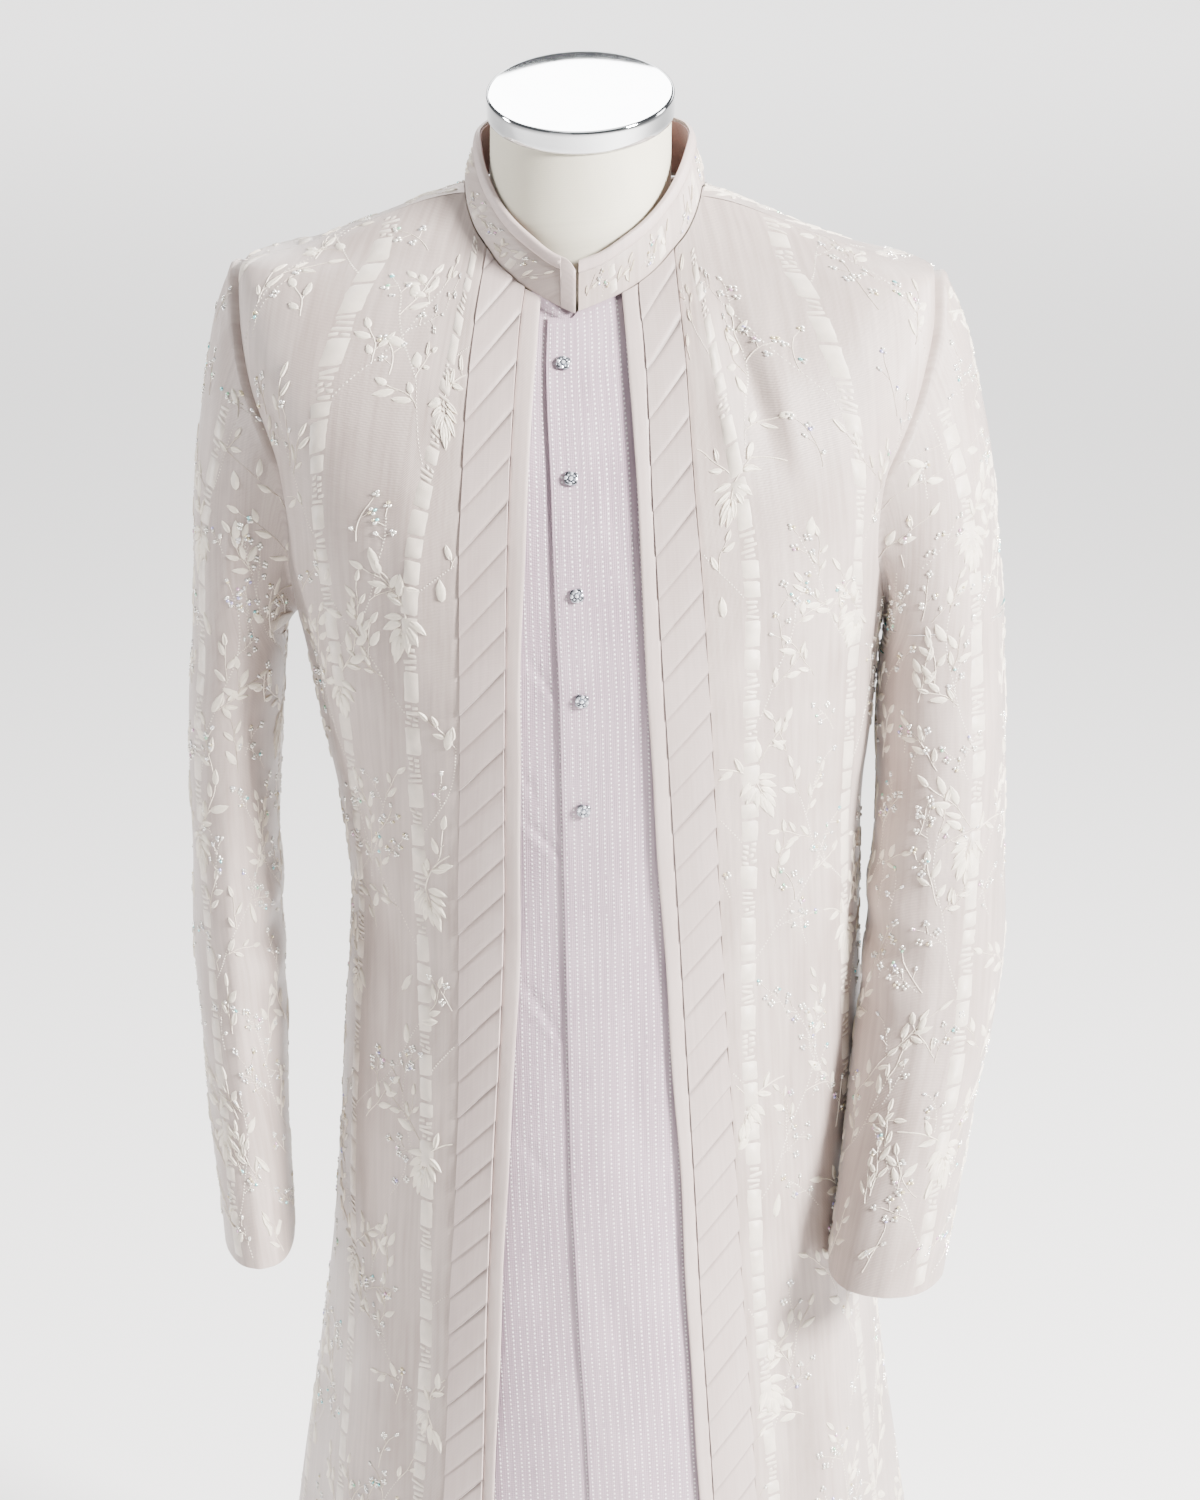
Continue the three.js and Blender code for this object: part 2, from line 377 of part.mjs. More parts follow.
// ---------------------------------------------------------------- sleeves
function sleeve(side) {
  const S = side < 0 ? SLEEVE_RIGHT : SLEEVE_LEFT, N = 16, half = N / 2;
  const front = resample(armLine(side, -1).reverse(), half), back = resample(armLine(side, 1), half);
  front[0].y = 0; back[half].y = 0; front[half].y = 0;
  const hole = [...front, ...back.slice(1, half)].map(p => skin(p).add(V(side * 0.6, 0, 0)));
  const ring = (s) => {
    const out = [], a = s.turn * Math.PI / 180;
    for (let i = 0; i < N; i++) {
      const t = i / N * 2 * Math.PI, ex = side * s.rx * Math.sign(Math.cos(t)) * Math.abs(Math.cos(t)) ** 0.92, ey = -s.ry * Math.sign(Math.sin(t)) * Math.abs(Math.sin(t)) ** 0.96;
      const pinch = 1 + 0.03 * Math.cos(3 * t + s.z * 0.02) * smooth((1000 - s.z) / 200);
      out.push(V(s.x + (ex * Math.cos(a) - ey * Math.sin(a)) * pinch, s.y + ex * Math.sin(a) + ey * Math.cos(a), s.z));
    }
    return out;
  };
  const rows = [hole], E = ring(S[0]);
  for (const w of [0.04, 0.1, 0.2, 0.34, 0.5, 0.68, 0.84]) {
    rows.push(hole.map((p, i) => {
      const up = (1 + Math.cos(i / N * 2 * Math.PI)) / 2, TA = V(side * lerp(14, 66, up), 0, lerp(-8, 10, up)), TE = V(0, 0, lerp(-26, -300, up));
      const h00 = (1 + 2 * w) * (1 - w) ** 2, h10 = w * (1 - w) ** 2, h01 = w * w * (3 - 2 * w), h11 = w * w * (w - 1);
      const roll = 2.2 * Math.sin(Math.PI * clamp(w / 0.13, 0, 1)) * up;
      return V(0, 0, 0).addScaledVector(p, h00).addScaledVector(TA, h10).addScaledVector(E[i], h01).addScaledVector(TE, h11)
        .add(V(side * roll * 0.6, 0, roll * 0.8));
    }));
  }
  for (const s of S) rows.push(ring(s));
  const outer = rows, inner = rows.map((row, r) => row.map((p, i) => {
    const a = row[(i + 1) % N].clone().sub(row[(i + N - 1) % N]), b = (rows[Math.min(r + 1, rows.length - 1)][i]).clone().sub(rows[Math.max(r - 1, 0)][i]);
    const n = a.cross(b).normalize(), c = row.reduce((s, q) => s.add(q), V(0, 0, 0)).divideScalar(N);
    if (n.dot(c.sub(p)) < 0) n.negate();
    if (r === 0) n.setX(Math.max(0, side * n.x) * side).normalize();
    return p.clone().addScaledVector(n, CLOTH);
  }));
  return wall(outer, inner, true);
}

// ---------------------------------------------------------------- collar
const ctx = curve(NK, COLLAR_TOP.map(r => r[0])), cty = curve(NK, COLLAR_TOP.map(r => r[1])), ctz = curve(NK, COLLAR_TOP.map(r => r[2]));
// k runs from the left front end (0+) round the back (11) to the right front end (22)
function collarPoint(k, v, out) {
  const last = NECK.length - 1, side = k <= last ? 1 : -1, kk = clamp(k <= last ? k : 2 * last - k, 0, last);
  const nx = neckX(kk), ny = neckY(kk), lowZ = heightAt(side * nx, ny) + 0.9;
  const over = side < 0 ? 2.6 * (1 - smooth(kk / 2.2)) : -0.5 * (1 - smooth(kk / 2.2));
  const base = V(side * nx, ny, lowZ), top = V(side * ctx(kk), cty(kk), ctz(kk)), p = base.lerp(top, v);
  const r = V(p.x, p.y * 1.05, 0).normalize();
  return p.addScaledVector(r, out + over);
}
const COLLAR_H = 36, BAND_V = 1 - COLLAR_BAND / COLLAR_H, K0 = 0.12, K1 = 2 * (NECK.length - 1) + 0;
const END_K = K1 - COLLAR_BAND / 15, KS = [];
for (let c = 0; c <= 40; c++) KS.push(lerp(K0, END_K, c / 40));
// ring sheet over the collar stations ks, between heights low(c) and high(c)
function ringSheet(ks, low, high, rowsN, out0, out1) {
  const face = (out) => {
    const rows = [];
    for (let r = 0; r <= rowsN; r++) rows.push(ks.map((k, c) => collarPoint(k, lerp(low(c), high(c), r / rowsN), out)));
    return rows;
  };
  return wall(face(out0), face(out1));
}
const V_GAP = 0.35 / COLLAR_H;
function collarBody() {
  const ks = [...KS.slice(0, -1), END_K - 0.03];
  return ringSheet(ks, () => 0, () => BAND_V, 2, 0, -CLOTH);
}
// the plain band: along the top and down the right front end, one L-shaped strip
function collarBand() {
  const ks = [...KS, END_K + 0.01, lerp(END_K, K1, 0.6), K1], turn = KS.length;
  return ringSheet(ks, (c) => (c < turn ? BAND_V + V_GAP : 0), (c) => (c <= turn ? 1 : c === turn + 1 ? 0.95 : 0.84), 1, 0.9, -CLOTH);
}
function collarLining() {
  const ks = [...KS.slice(0, -1), END_K - 0.03], n = ks.length;
  return ringSheet(ks, () => 0.06, (c) => (c === 0 ? 0.86 : c === 1 ? 0.93 : 0.95), 1, -CLOTH - 0.4, -CLOTH - 1.4);
}

// ---------------------------------------------------------------- studs, form and stand
function stud(x, z) {
  const p = V(x, frontY(x, z), z), n = normalAt(p), c = skin(p, -INNER_LEFT_DROP + 0.35), N = 32;
  const e1 = V(1, 0, 0).addScaledVector(n, -n.x).normalize(), e2 = n.clone().cross(e1), rings = [];
  const shape = (t, k) => BUTTON_R * k * (0.80 + 0.20 * Math.abs(Math.cos(2 * (t + Math.PI / 4))));
  for (const [h, k] of [[0, 0.93], [0.5, 1], [1.7, 0.97], [2.6, 0.74], [2.3, 0.42], [2.9, 0.26], [3.2, 0.1]]) {
    const ring = [];
    for (let i = 0; i < N; i++) { const t = i / N * 2 * Math.PI, r = shape(t, k); ring.push(c.clone().addScaledVector(e1, r * Math.cos(t)).addScaledVector(e2, r * Math.sin(t)).addScaledVector(n, h)); }
    rings.push(ring);
  }
  return loft(rings);
}
const NF = { w: table(NECK_FORM, 'w'), y: table(NECK_FORM, 'y'), d: table(NECK_FORM, 'd') };
function torso() {
  const N = 44, rings = [], away = 11;
  const trunk = (th, z) => {
    const zz = z + 9; if (zz > 1401) return 0;
    const c = Math.cos(th), s = Math.sin(th); let lo = 0, hi = 400;
    const a = Math.max(1, B.a(zz) - away), f = Math.max(0.5, B.f(zz) - away - 1), b = Math.max(1, B.b(zz) - away), xc = B.xc(zz);
    for (let i = 0; i < 36; i++) {
      const m = (lo + hi) / 2, x = m * c, y = m * s, dx = Math.abs(x - xc) / a;
      const g = y < 0 ? dx ** B.nf(zz) + (-y / f) ** B.nf(zz) : dx ** B.nb(zz) + (y / b) ** B.nb(zz);
      if (g < 1) lo = m; else hi = m;
    }
    return lo;
  };
  const neck = (th, z) => {
    const w = NF.w(z), d = NF.d(z), cy = NF.y(z), c = Math.cos(th), s = Math.sin(th);
    const A = (c / w) ** 2 + (s / d) ** 2, Bq = -2 * s * cy / d ** 2, C = (cy / d) ** 2 - 1;
    return (-Bq + Math.sqrt(Math.max(0, Bq * Bq - 4 * A * C))) / (2 * A);
  };
  const soft = (p, q, k) => { const h = clamp(0.5 + 0.5 * (p - q) / k, 0, 1); return lerp(q, p, h) + k * h * (1 - h); };
  const topC = V(CAP_C[0], CAP_C[1] + (CAP_H + 0.35) * Math.sin(CAP_TILT), CAP_C[2] - (CAP_H + 0.35) * Math.cos(CAP_TILT));
  const levels = [TORSO_BOTTOM, 690, 760, 840, 915, 980, 1050, 1110, 1170, 1220, 1262, 1292, 1312, 1326, 1336, 1344, 1352, 1361, 1371, 1382, 1394, 1407, 1420];
  for (const z of levels) {
    const ring = [], lean = smooth((z - 1380) / 50) * 0.55;
    for (let i = 0; i < N; i++) {
      const th = i / N * 2 * Math.PI; let zz = z, r = 0, k = z > 1300 ? 5 : 0.01;
      for (let j = 0; j < 3; j++) { const t = trunk(th, zz), q = z < 1300 ? 0 : neck(th, zz); r = q === 0 ? t : (t === 0 ? q : soft(t, q, k)); zz = z + lean * Math.tan(CAP_TILT) * r * Math.sin(th); }
      ring.push(V(r * Math.cos(th) - (z > 1340 ? 2 * smooth((z - 1340) / 60) : 0), r * Math.sin(th), zz));
    }
    rings.push(ring);
  }
  for (const [drop, rad] of [[9, 58], [0, 58.6]]) {
    const ring = [];
    for (let i = 0; i < N; i++) { const th = i / N * 2 * Math.PI, px = rad * Math.cos(th), pv = rad * Math.sin(th); ring.push(V(topC.x + px, topC.y + pv * Math.cos(CAP_TILT) + drop * Math.sin(CAP_TILT), topC.z + pv * Math.sin(CAP_TILT) - drop * Math.cos(CAP_TILT))); }
    rings.push(ring);
  }
  return loft(rings);
}
function lathe(profile, seg) {
  const g = new THREE.LatheGeometry(profile.map(([r, h]) => new THREE.Vector2(r, h)), seg);
  g.rotateX(Math.PI / 2);
  return g;
}
function cap() {
  const h = CAP_H, r = CAP_R, g = lathe([[0, -h], [r - 1.5, -h], [r, -h + 1.5], [r, -1.6], [r - 0.5, -0.5], [r - 1.8, 0], [r - 8, -0.25], [0, -0.1]], 72);
  g.rotateX(CAP_TILT); g.translate(...CAP_C);
  return g;
}

// ---------------------------------------------------------------- assembly
const MAT = {
  coat: new THREE.MeshStandardMaterial({ name: 'coat_cloth', color: 0xd3c9c4, roughness: 0.5 }),
  plain: new THREE.MeshStandardMaterial({ name: 'plain_satin', color: 0xcfc3c0, roughness: 0.5 }),
  inner: new THREE.MeshStandardMaterial({ name: 'inner_satin', color: 0xd6cbd0, roughness: 0.4 }),
  lining: new THREE.MeshStandardMaterial({ name: 'collar_lining', color: 0x967370, roughness: 0.6 }),
  stud: new THREE.MeshStandardMaterial({ name: 'stud_crystal', color: 0xd8dadf, roughness: 0.12, metalness: 0.7 }),
  form: new THREE.MeshStandardMaterial({ name: 'form_cover', color: 0xe2dfd5, roughness: 0.6 }),
  stand: new THREE.MeshStandardMaterial({ name: 'stand_paint', color: 0xc7c7c4, roughness: 0.4, metalness: 0.3 }),
  chrome: new THREE.MeshStandardMaterial({ name: 'chrome', color: 0xdfe1e4, roughness: 0.08, metalness: 1 }),
};
const root = new THREE.Group();
root.name = 'sherwani_coat_on_dress_form';
const add = (name, geometry, material) => { const m = new THREE.Mesh(geometry, material); m.name = name; root.add(m); };

add('front_right', frontPanel(-1), MAT.coat);
add('front_left', frontPanel(1), MAT.coat);
add('back', backPanel(), MAT.coat);
add('sleeve_right', sleeve(-1), MAT.coat);
add('sleeve_left', sleeve(1), MAT.coat);
add('tuck_band_right', tuckBand(-1), MAT.plain);
add('tuck_band_left', tuckBand(1), MAT.plain);
add('edge_band_right', strip((z) => LINE.tuckInnerRight(z) + SEAM, (z) => LINE.openRight(z), CLOTH, 0, 1, 34, HEM_Z), MAT.plain);
add('edge_band_left', strip((z) => LINE.openLeft(z), (z) => LINE.tuckInnerLeft(z) - SEAM, CLOTH, 0, 1, 34, HEM_Z), MAT.plain);
add('inner_front_left', strip((z) => LINE.placket(z), (z) => LINE.openLeft(z) + 34, INNER_CLOTH, -INNER_LEFT_DROP, 8, 26, HEM_Z + 12, placketRise), MAT.inner);
add('inner_front_right', strip((z) => LINE.openRight(z) - 34, (z) => LINE.placket(z) + 24, INNER_CLOTH, -INNER_RIGHT_DROP, 6, 26, HEM_Z + 12, innerRise), MAT.inner);
add('collar', collarBody(), MAT.coat);
add('collar_edge', collarBand(), MAT.plain);
add('collar_lining', collarLining(), MAT.lining);
STUDS.forEach(([x, z], i) => add('button_' + (i + 1), stud(x, z), MAT.stud));
add('form_torso', torso(), MAT.form);
add('neck_cap', cap(), MAT.chrome);
const pole = lathe([[0, BASE_H + 0.3], [POLE_R, BASE_H + 0.3], [POLE_R, TORSO_BOTTOM - 0.3], [0, TORSO_BOTTOM - 0.3]], 32);
add('stand_pole', pole, MAT.chrome);
const disc = new THREE.Shape(); disc.absarc(0, 0, BASE_R, 0, Math.PI * 2, false);
add('stand_base', new THREE.ExtrudeGeometry(disc, { depth: BASE_H, bevelEnabled: false, curveSegments: 36 }), MAT.stand);

export default root;
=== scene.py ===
import bpy, json, math
import numpy as np
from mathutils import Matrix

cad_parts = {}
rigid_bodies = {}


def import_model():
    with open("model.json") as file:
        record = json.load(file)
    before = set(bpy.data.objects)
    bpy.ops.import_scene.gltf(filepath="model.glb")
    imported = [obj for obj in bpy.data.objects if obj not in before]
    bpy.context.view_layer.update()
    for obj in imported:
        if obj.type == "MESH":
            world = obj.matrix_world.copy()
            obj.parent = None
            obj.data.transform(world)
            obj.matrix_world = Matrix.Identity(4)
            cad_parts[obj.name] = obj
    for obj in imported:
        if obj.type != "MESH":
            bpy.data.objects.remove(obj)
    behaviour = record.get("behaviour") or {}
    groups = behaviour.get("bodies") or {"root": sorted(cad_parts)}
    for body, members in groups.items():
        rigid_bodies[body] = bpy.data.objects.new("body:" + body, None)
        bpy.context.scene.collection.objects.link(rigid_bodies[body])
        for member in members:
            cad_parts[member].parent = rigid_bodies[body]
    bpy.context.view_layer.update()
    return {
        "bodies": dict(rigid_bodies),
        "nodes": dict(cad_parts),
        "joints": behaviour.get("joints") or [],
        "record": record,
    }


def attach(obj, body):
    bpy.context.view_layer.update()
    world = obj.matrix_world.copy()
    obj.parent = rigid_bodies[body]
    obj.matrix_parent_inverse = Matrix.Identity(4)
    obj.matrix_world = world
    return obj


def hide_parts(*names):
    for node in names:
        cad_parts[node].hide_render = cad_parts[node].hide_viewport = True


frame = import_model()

MM = 0.001
rng = np.random.default_rng(41)

# ------------------------------------------------------------------ camera
AZ, PITCH = math.radians(4.0), math.radians(20.5)
cam_data = bpy.data.cameras.new("camera")
cam = bpy.data.objects.new("camera", cam_data)
bpy.context.scene.collection.objects.link(cam)
bpy.context.scene.camera = cam
cam_data.sensor_fit = "VERTICAL"
cam_data.sensor_height = 36.0
cam_data.sensor_width = 28.8
cam_data.lens = 3370.0 / 1500.0 * 36.0
cam_data.clip_end = 60
cam.location = (0.16304, -2.17392, 1.826)
cam.rotation_euler = (math.pi / 2 - PITCH, 0, AZ)

# ------------------------------------------------------------------ sizes (mm)
HEM_Z, ARMPIT_Z, SHOULDER_Z, CLOTH, INNER_CLOTH, SEAM = 345.0, 1112.0, 1349.0, 1.6, 1.2, 0.2
INNER_LEFT_DROP, INNER_RIGHT_DROP = 3.4, 5.6
TUCK_PITCH, TUCK_RISE, TUCK_LIFT = 27.0, 1.15, 1.5
COLLAR_BAND, COLLAR_H = 9.5, 36.0
CAP_R, CAP_H, CAP_TILT, CAP_C = 61.0, 16.0, math.radians(16), (-2.0, 4.0, 1463.5)
BODY = np.array([
    # z, half width, x centre, front depth, back depth, roundness front, back
    [345, 236, 15, 186, 178, 2.0, 2.1], [450, 220.5, 14.5, 174, 166, 2.0, 2.1], [530, 208.5, 13.5, 165, 158, 2.0, 2.15],
    [640, 194.5, 12.5, 155, 150, 2.0, 2.2], [750, 186, 12, 146, 142, 2.05, 2.2], [840, 181, 14, 136, 130, 2.15, 2.25],
    [915, 177.5, 15, 130, 116, 2.25, 2.3], [980, 180, 12, 134, 118, 2.3, 2.3], [1050, 188, 8, 140, 126, 2.4, 2.35],
    [1100, 194, 5, 143, 132, 2.45, 2.4], [1130, 199, 4, 142, 134, 2.5, 2.5], [1180, 207, 4, 137, 136, 2.7, 2.6],
    [1240, 219, 4, 122, 134, 3.0, 2.8], [1290, 228, 3, 99, 127, 3.3, 3.0], [1320, 230, 3, 76, 117, 3.4, 3.0],
    [1340, 229, 2, 58, 107, 3.2, 2.8], [1349, 228, 2, 48, 100, 3.0, 2.6], [1360, 190, 1, 36, 94, 2.6, 2.3],
    [1372, 158, 0, 26, 88, 2.5, 2.1], [1385, 124, 0, 16, 82, 2.4, 2.0], [1395, 100, 0, 9, 77, 2.3, 2.0], [1402, 80, 0, 3, 73, 2.2, 2.0]], float)
LINES = {
    "tuckOuterRight": [[345, -96], [543, -87.2], [661, -83.3], [742, -78.6], [820, -76.5], [947, -75.3], [1038, -71.7], [1116, -70.1], [1188, -70], [1236, -68.4], [1273, -67.4], [1308, -65.8], [1344, -62.9], [1367, -60.3]],
    "tuckInnerRight": [[345, -67], [548, -59.4], [641, -57], [760, -52.1], [836, -47.9], [952, -43.4], [1042, -41.6], [1104, -40], [1190, -38.8], [1236, -38], [1273, -36.9], [1298, -36.2], [1326, -35.4], [1349, -33.5]],
    "openRight": [[345, -59], [548, -51.4], [641, -47.2], [760, -41.2], [862, -36.3], [952, -33.3], [1042, -31.2], [1120, -29.4], [1190, -27.4], [1224, -26.6], [1275, -25.2], [1321, -24.4], [1344, -24]],
    "openLeft": [[345, 103], [551, 89.2], [645, 82.4], [751, 75.2], [839, 68], [956, 60.6], [1046, 54.8], [1121, 50.2], [1192, 45.4], [1238, 42.8], [1275, 39.4], [1310, 34.6], [1344, 29]],
    "tuckInnerLeft": [[345, 113], [551, 98.4], [643, 91.4], [749, 84.7], [851, 77.7], [970, 70.2], [1060, 64.8], [1136, 59.9], [1192, 56], [1226, 53.3], [1275, 49.7], [1310, 46], [1346, 39.4]],
    "tuckOuterLeft": [[345, 143], [544, 128.4], [611, 123.2], [693, 116.4], [772, 111], [860, 104.6], [952, 98.9], [1010, 96], [1074, 92.8], [1134, 88.9], [1192, 84.2], [1226, 80.4], [1270, 76], [1310, 71.4], [1333, 67.4], [1367, 60.9]],
    "placket": [[345, 24], [555, 13], [647, 6.8], [700, 4], [751, 1.2], [851, -1.6], [903, -3], [982, -4.2], [1044, -4.7], [1090, -5.2], [1134, -7], [1190, -9.6], [1238, -12], [1287, -16], [1310, -17.6], [1345, -18.4]],
}
ARM_FRONT = [[1112, 1], [1130, 0.993], [1150, 0.975], [1175, 0.945], [1203, 0.928], [1231, 0.917], [1245, 0.925], [1260, 0.94], [1275, 0.955], [1300, 0.973], [1319, 0.985], [1335, 0.994], [1349, 1]]
ARM_BACK = [[1112, 1], [1130, 0.995], [1160, 0.965], [1200, 0.93], [1240, 0.925], [1280, 0.94], [1310, 0.962], [1335, 0.985], [1349, 1]]
NECK = np.array([[0, -65], [15, -60], [31, -53], [46, -43], [60, -29.5], [70, -19], [77, -4], [79, 14], [74, 36], [61, 56], [35, 71], [0, 75]], float)
COLLAR_TOP = np.array([[0, -62, 1366], [15, -58, 1371], [30, -51, 1380], [43, -41, 1389], [54, -29, 1400], [62, -16, 1412], [67.5, -2, 1425], [70, 14, 1435], [66, 35, 1438], [54, 54, 1439], [31, 67, 1440], [0, 71, 1440]], float)
# creases: x at mid height, middle z, half length, half width, lean, depth (+ out)
FOLDS = [(-205, 1215, 70, 7, -0.30, -3.0), (-178, 1190, 95, 9, -0.28, -2.6), (-160, 1120, 110, 11, -0.16, 2.0), (112, 1300, 75, 10, -0.42, -3.0),
         (140, 1270, 90, 12, -0.40, 2.2), (188, 1190, 90, 8, 0.20, -3.0), (168, 1060, 150, 11, 0.04, -2.4), (-120, 900, 170, 14, 0.06, -2.6),
         (-150, 760, 200, 15, 0.05, 3.0), (-112, 560, 230, 15, 0.05, -4.0), (150, 800, 220, 13, -0.07, -4.0), (176, 640, 230, 14, -0.06, 3.6), (160, 480, 190, 16, -0.06, -5.0)]
BACK_FOLDS = [(-150, 1200, 90, 10, -0.25, -2.6), (148, 1185, 80, 10, 0.28, -2.8), (-30, 1340, 40, 16, 0.1, 1.6), (-92, 860, 160, 13, -0.04, -3.2),
              (74, 880, 170, 15, 0.03, -3.0), (-120, 560, 240, 18, -0.07, -6.0), (-45, 520, 230, 17, -0.02, 5.0), (38, 540, 240, 18, 0.02, -5.5), (118, 580, 250, 19, 0.06, 5.5)]
# finer wrinkles that only the visible cloth has: from (x, z) to (x, z), half width, depth
WRINKLES = [(-208, 1290, -176, 1225, 6, -1.3), (-214, 1262, -190, 1180, 5, -1.5), (-196, 1200, -168, 1120, 6, 1.1), (-186, 1150, -172, 1060, 7, -1.2),
            (-150, 1085, -140, 960, 9, -1.1), (-130, 1010, -124, 905, 7, 0.9), (-105, 1250, -100, 1120, 9, 0.8), (-118, 1190, -116, 1080, 8, -0.8),
            (92, 1345, 132, 1262, 7, -1.4), (84, 1320, 110, 1240, 6, 1.0), (205, 1260, 192, 1150, 6, -1.4), (196, 1140, 190, 1020, 7, 1.2),
            (176, 1100, 172, 960, 7, -1.3), (150, 1010, 146, 880, 9, 0.9), (124, 1180, 128, 1040, 10, -0.9), (130, 960, 122, 820, 8, -0.9),
            (-158, 690, -166, 520, 9, -1.6), (-96, 820, -100, 640, 9, 0.9), (140, 700, 150, 540, 8, -1.5), (196, 760, 206, 620, 8, 1.2), (180, 930, 172, 840, 6, -1.2)]
BACK_WRINKLES = [(-186, 1260, -160, 1180, 7, -1.3), (182, 1270, 158, 1190, 7, -1.4), (-70, 1330, 60, 1322, 8, -0.9), (-120, 980, -70, 962, 7, -1.2), (110, 990, 60, 968, 7, -1.1),
                 (-140, 930, -100, 915, 6, 0.9), (130, 940, 96, 920, 6, 0.8), (-20, 900, -14, 760, 9, -1.2), (96, 800, 104, 640, 10, -1.4), (-60, 720, -66, 560, 9, -1.3)]
INNER_WRINKLES = [(-26, 1122, -8, 1098, 2.4, -1.3), (-24, 1114, -7, 1090, 2.4, 0.8), (-30, 1042, -22, 1026, 2.2, -1.0), (-31, 1010, -7, 985, 2.6, -1.4),
                  (-29, 1001, -8, 977, 2.4, 0.9), (-34, 890, -8, 855, 2.8, -1.5), (-32, 880, -8, 846, 2.6, 0.9), (-36, 780, -14, 752, 3, -0.9), (-14, 1316, 26, 1322, 3, -0.7), (24, 1250, 34, 1180, 5, -0.7), (14, 700, 44, 610, 8, -1.1), (40, 880, 48, 760, 7, -0.9)]

# ------------------------------------------------------------------ maths
def pchip(xs, ys):
    x = np.asarray(xs, float); y = np.asarray(ys, float); h = np.diff(x); d = np.diff(y) / h; m = np.zeros_like(y)
    m[0], m[-1] = d[0], d[-1]
    for i in range(1, len(x) - 1):
        if d[i - 1] * d[i] > 0:
            w1, w2 = 2 * h[i] + h[i - 1], w2_(h, i)
            m[i] = (w1 + w2) / (w1 / d[i - 1] + w2 / d[i])
    def f(q):
        q = np.clip(np.asarray(q, float), x[0], x[-1]); k = np.clip(np.searchsorted(x, q, side="right") - 1, 0, len(x) - 2); t = (q - x[k]) / h[k]
        return (1 + 2 * t) * (1 - t) ** 2 * y[k] + t * (1 - t) ** 2 * h[k] * m[k] + t * t * (3 - 2 * t) * y[k + 1] + t * t * (t - 1) * h[k] * m[k + 1]
    return f
def w2_(h, i): return h[i] + 2 * h[i - 1]
def smooth(t): t = np.clip(t, 0, 1); return t * t * (3 - 2 * t)
Ba, Bx, Bf, Bb, Bnf, Bnb = [pchip(BODY[:, 0], BODY[:, i]) for i in range(1, 7)]
LINE = {k: pchip([r[0] for r in v], [r[1] for r in v]) for k, v in LINES.items()}
def level(p):
    x, y, z = p[..., 0], p[..., 1], p[..., 2]; over = np.maximum(0, z - 1402.0)
    a = np.maximum(2, Ba(z) - over * 5); f = np.maximum(0.5, Bf(z) - over * 0.3); b = np.maximum(1, Bb(z) - over * 6)
    dx = np.abs(x - Bx(z)) / a
    nf, nb = Bnf(z), Bnb(z)
    return np.where(y < 0, dx ** nf + (np.abs(y) / f) ** nf, dx ** nb + (np.abs(y) / b) ** nb)
def front_y(x, z): return -Bf(z) * np.maximum(0, 1 - (np.abs(x - Bx(z)) / Ba(z)) ** Bnf(z)) ** (1 / Bnf(z))
def back_y(x, z): return Bb(z) * np.maximum(0, 1 - (np.abs(x - Bx(z)) / Ba(z)) ** Bnb(z)) ** (1 / Bnb(z))
def height_at(x, y):
    x, y = np.broadcast_arrays(np.asarray(x, float), np.asarray(y, float)); lo = np.full(x.shape, 1150.0); hi = np.full(x.shape, 1440.0)
    for _ in range(40):
        m = (lo + hi) / 2; inside = level(np.stack([x, y, m], -1)) < 1; lo = np.where(inside, m, lo); hi = np.where(inside, hi, m)
    return (lo + hi) / 2
def unit(v): return v / np.maximum(1e-12, np.linalg.norm(v, axis=-1, keepdims=True))
def normal_at(p, e=0.5):
    g = []
    for i in range(3):
        d = np.zeros(3); d[i] = e; g.append(level(p + d) - level(p - d))
    return unit(np.stack(g, -1))
def onto(q):
    A = np.stack([Bx(q[..., 2]), np.zeros_like(q[..., 0]), np.minimum(q[..., 2], 1150.0)], -1); d = q - A
    lo = np.full(q.shape[:-1], 0.2); hi = np.full(q.shape[:-1], 3.0)
    for _ in range(36):
        m = (lo + hi) / 2; inside = level(A + d * m[..., None]) < 1; lo = np.where(inside, m, lo); hi = np.where(inside, hi, m)
    return A + d * ((lo + hi) / 2)[..., None]
def seg_wave(x, z, rows):
    d = np.zeros_like(x)
    for x0, z0, x1, z1, w, dep in rows:
        dx, dz = x1 - x0, z1 - z0; L2 = dx * dx + dz * dz
        t = ((x - x0) * dx + (z - z0) * dz) / L2; u = np.clip(t, 0, 1)
        dist = np.hypot(x - x0 - u * dx, z - z0 - u * dz)
        d += dep * np.exp(-(dist / w) ** 2) * np.sin(np.pi * np.clip(0.12 + 0.76 * u, 0, 1))
    return d
def drape(p, fine=True):
    x, y, z = p[..., 0], p[..., 1], p[..., 2]; out = np.zeros_like(x)
    for rows, face in ((FOLDS, y < 0), (BACK_FOLDS, y >= 0)):
        d = np.zeros_like(x)
        for fx, fz, fl, fw, lean, dep in rows:
            k = (z - fz) / fl; s = (x - fx - lean * (z - fz)) / fw
            d += np.where(np.abs(k) < 1, dep * np.exp(-s * s) * np.cos(np.clip(k, -1, 1) * np.pi / 2) ** 2, 0)
        out = np.where(face, d, out)
    ang = np.arctan2(x - Bx(z), -y); low = smooth((820 - z) / 430); away = smooth((np.abs(ang) - 0.55) / 0.5)
    out = out + low * away * (3.4 * np.sin(7 * ang + 0.6) + 2.2 * np.sin(12 * ang + 2.1))
    if fine:
        out = out + 1.6 * np.where(y < 0, seg_wave(x, z, WRINKLES), seg_wave(x, z, BACK_WRINKLES))
        out = out + 0.35 * np.sin(x * 0.043 + z * 0.011 + 1.0) * np.sin(z * 0.017 + x * 0.009) + 0.22 * np.sin(x * 0.081 - z * 0.023 + 2.0) * np.sin(z * 0.031)
    return out
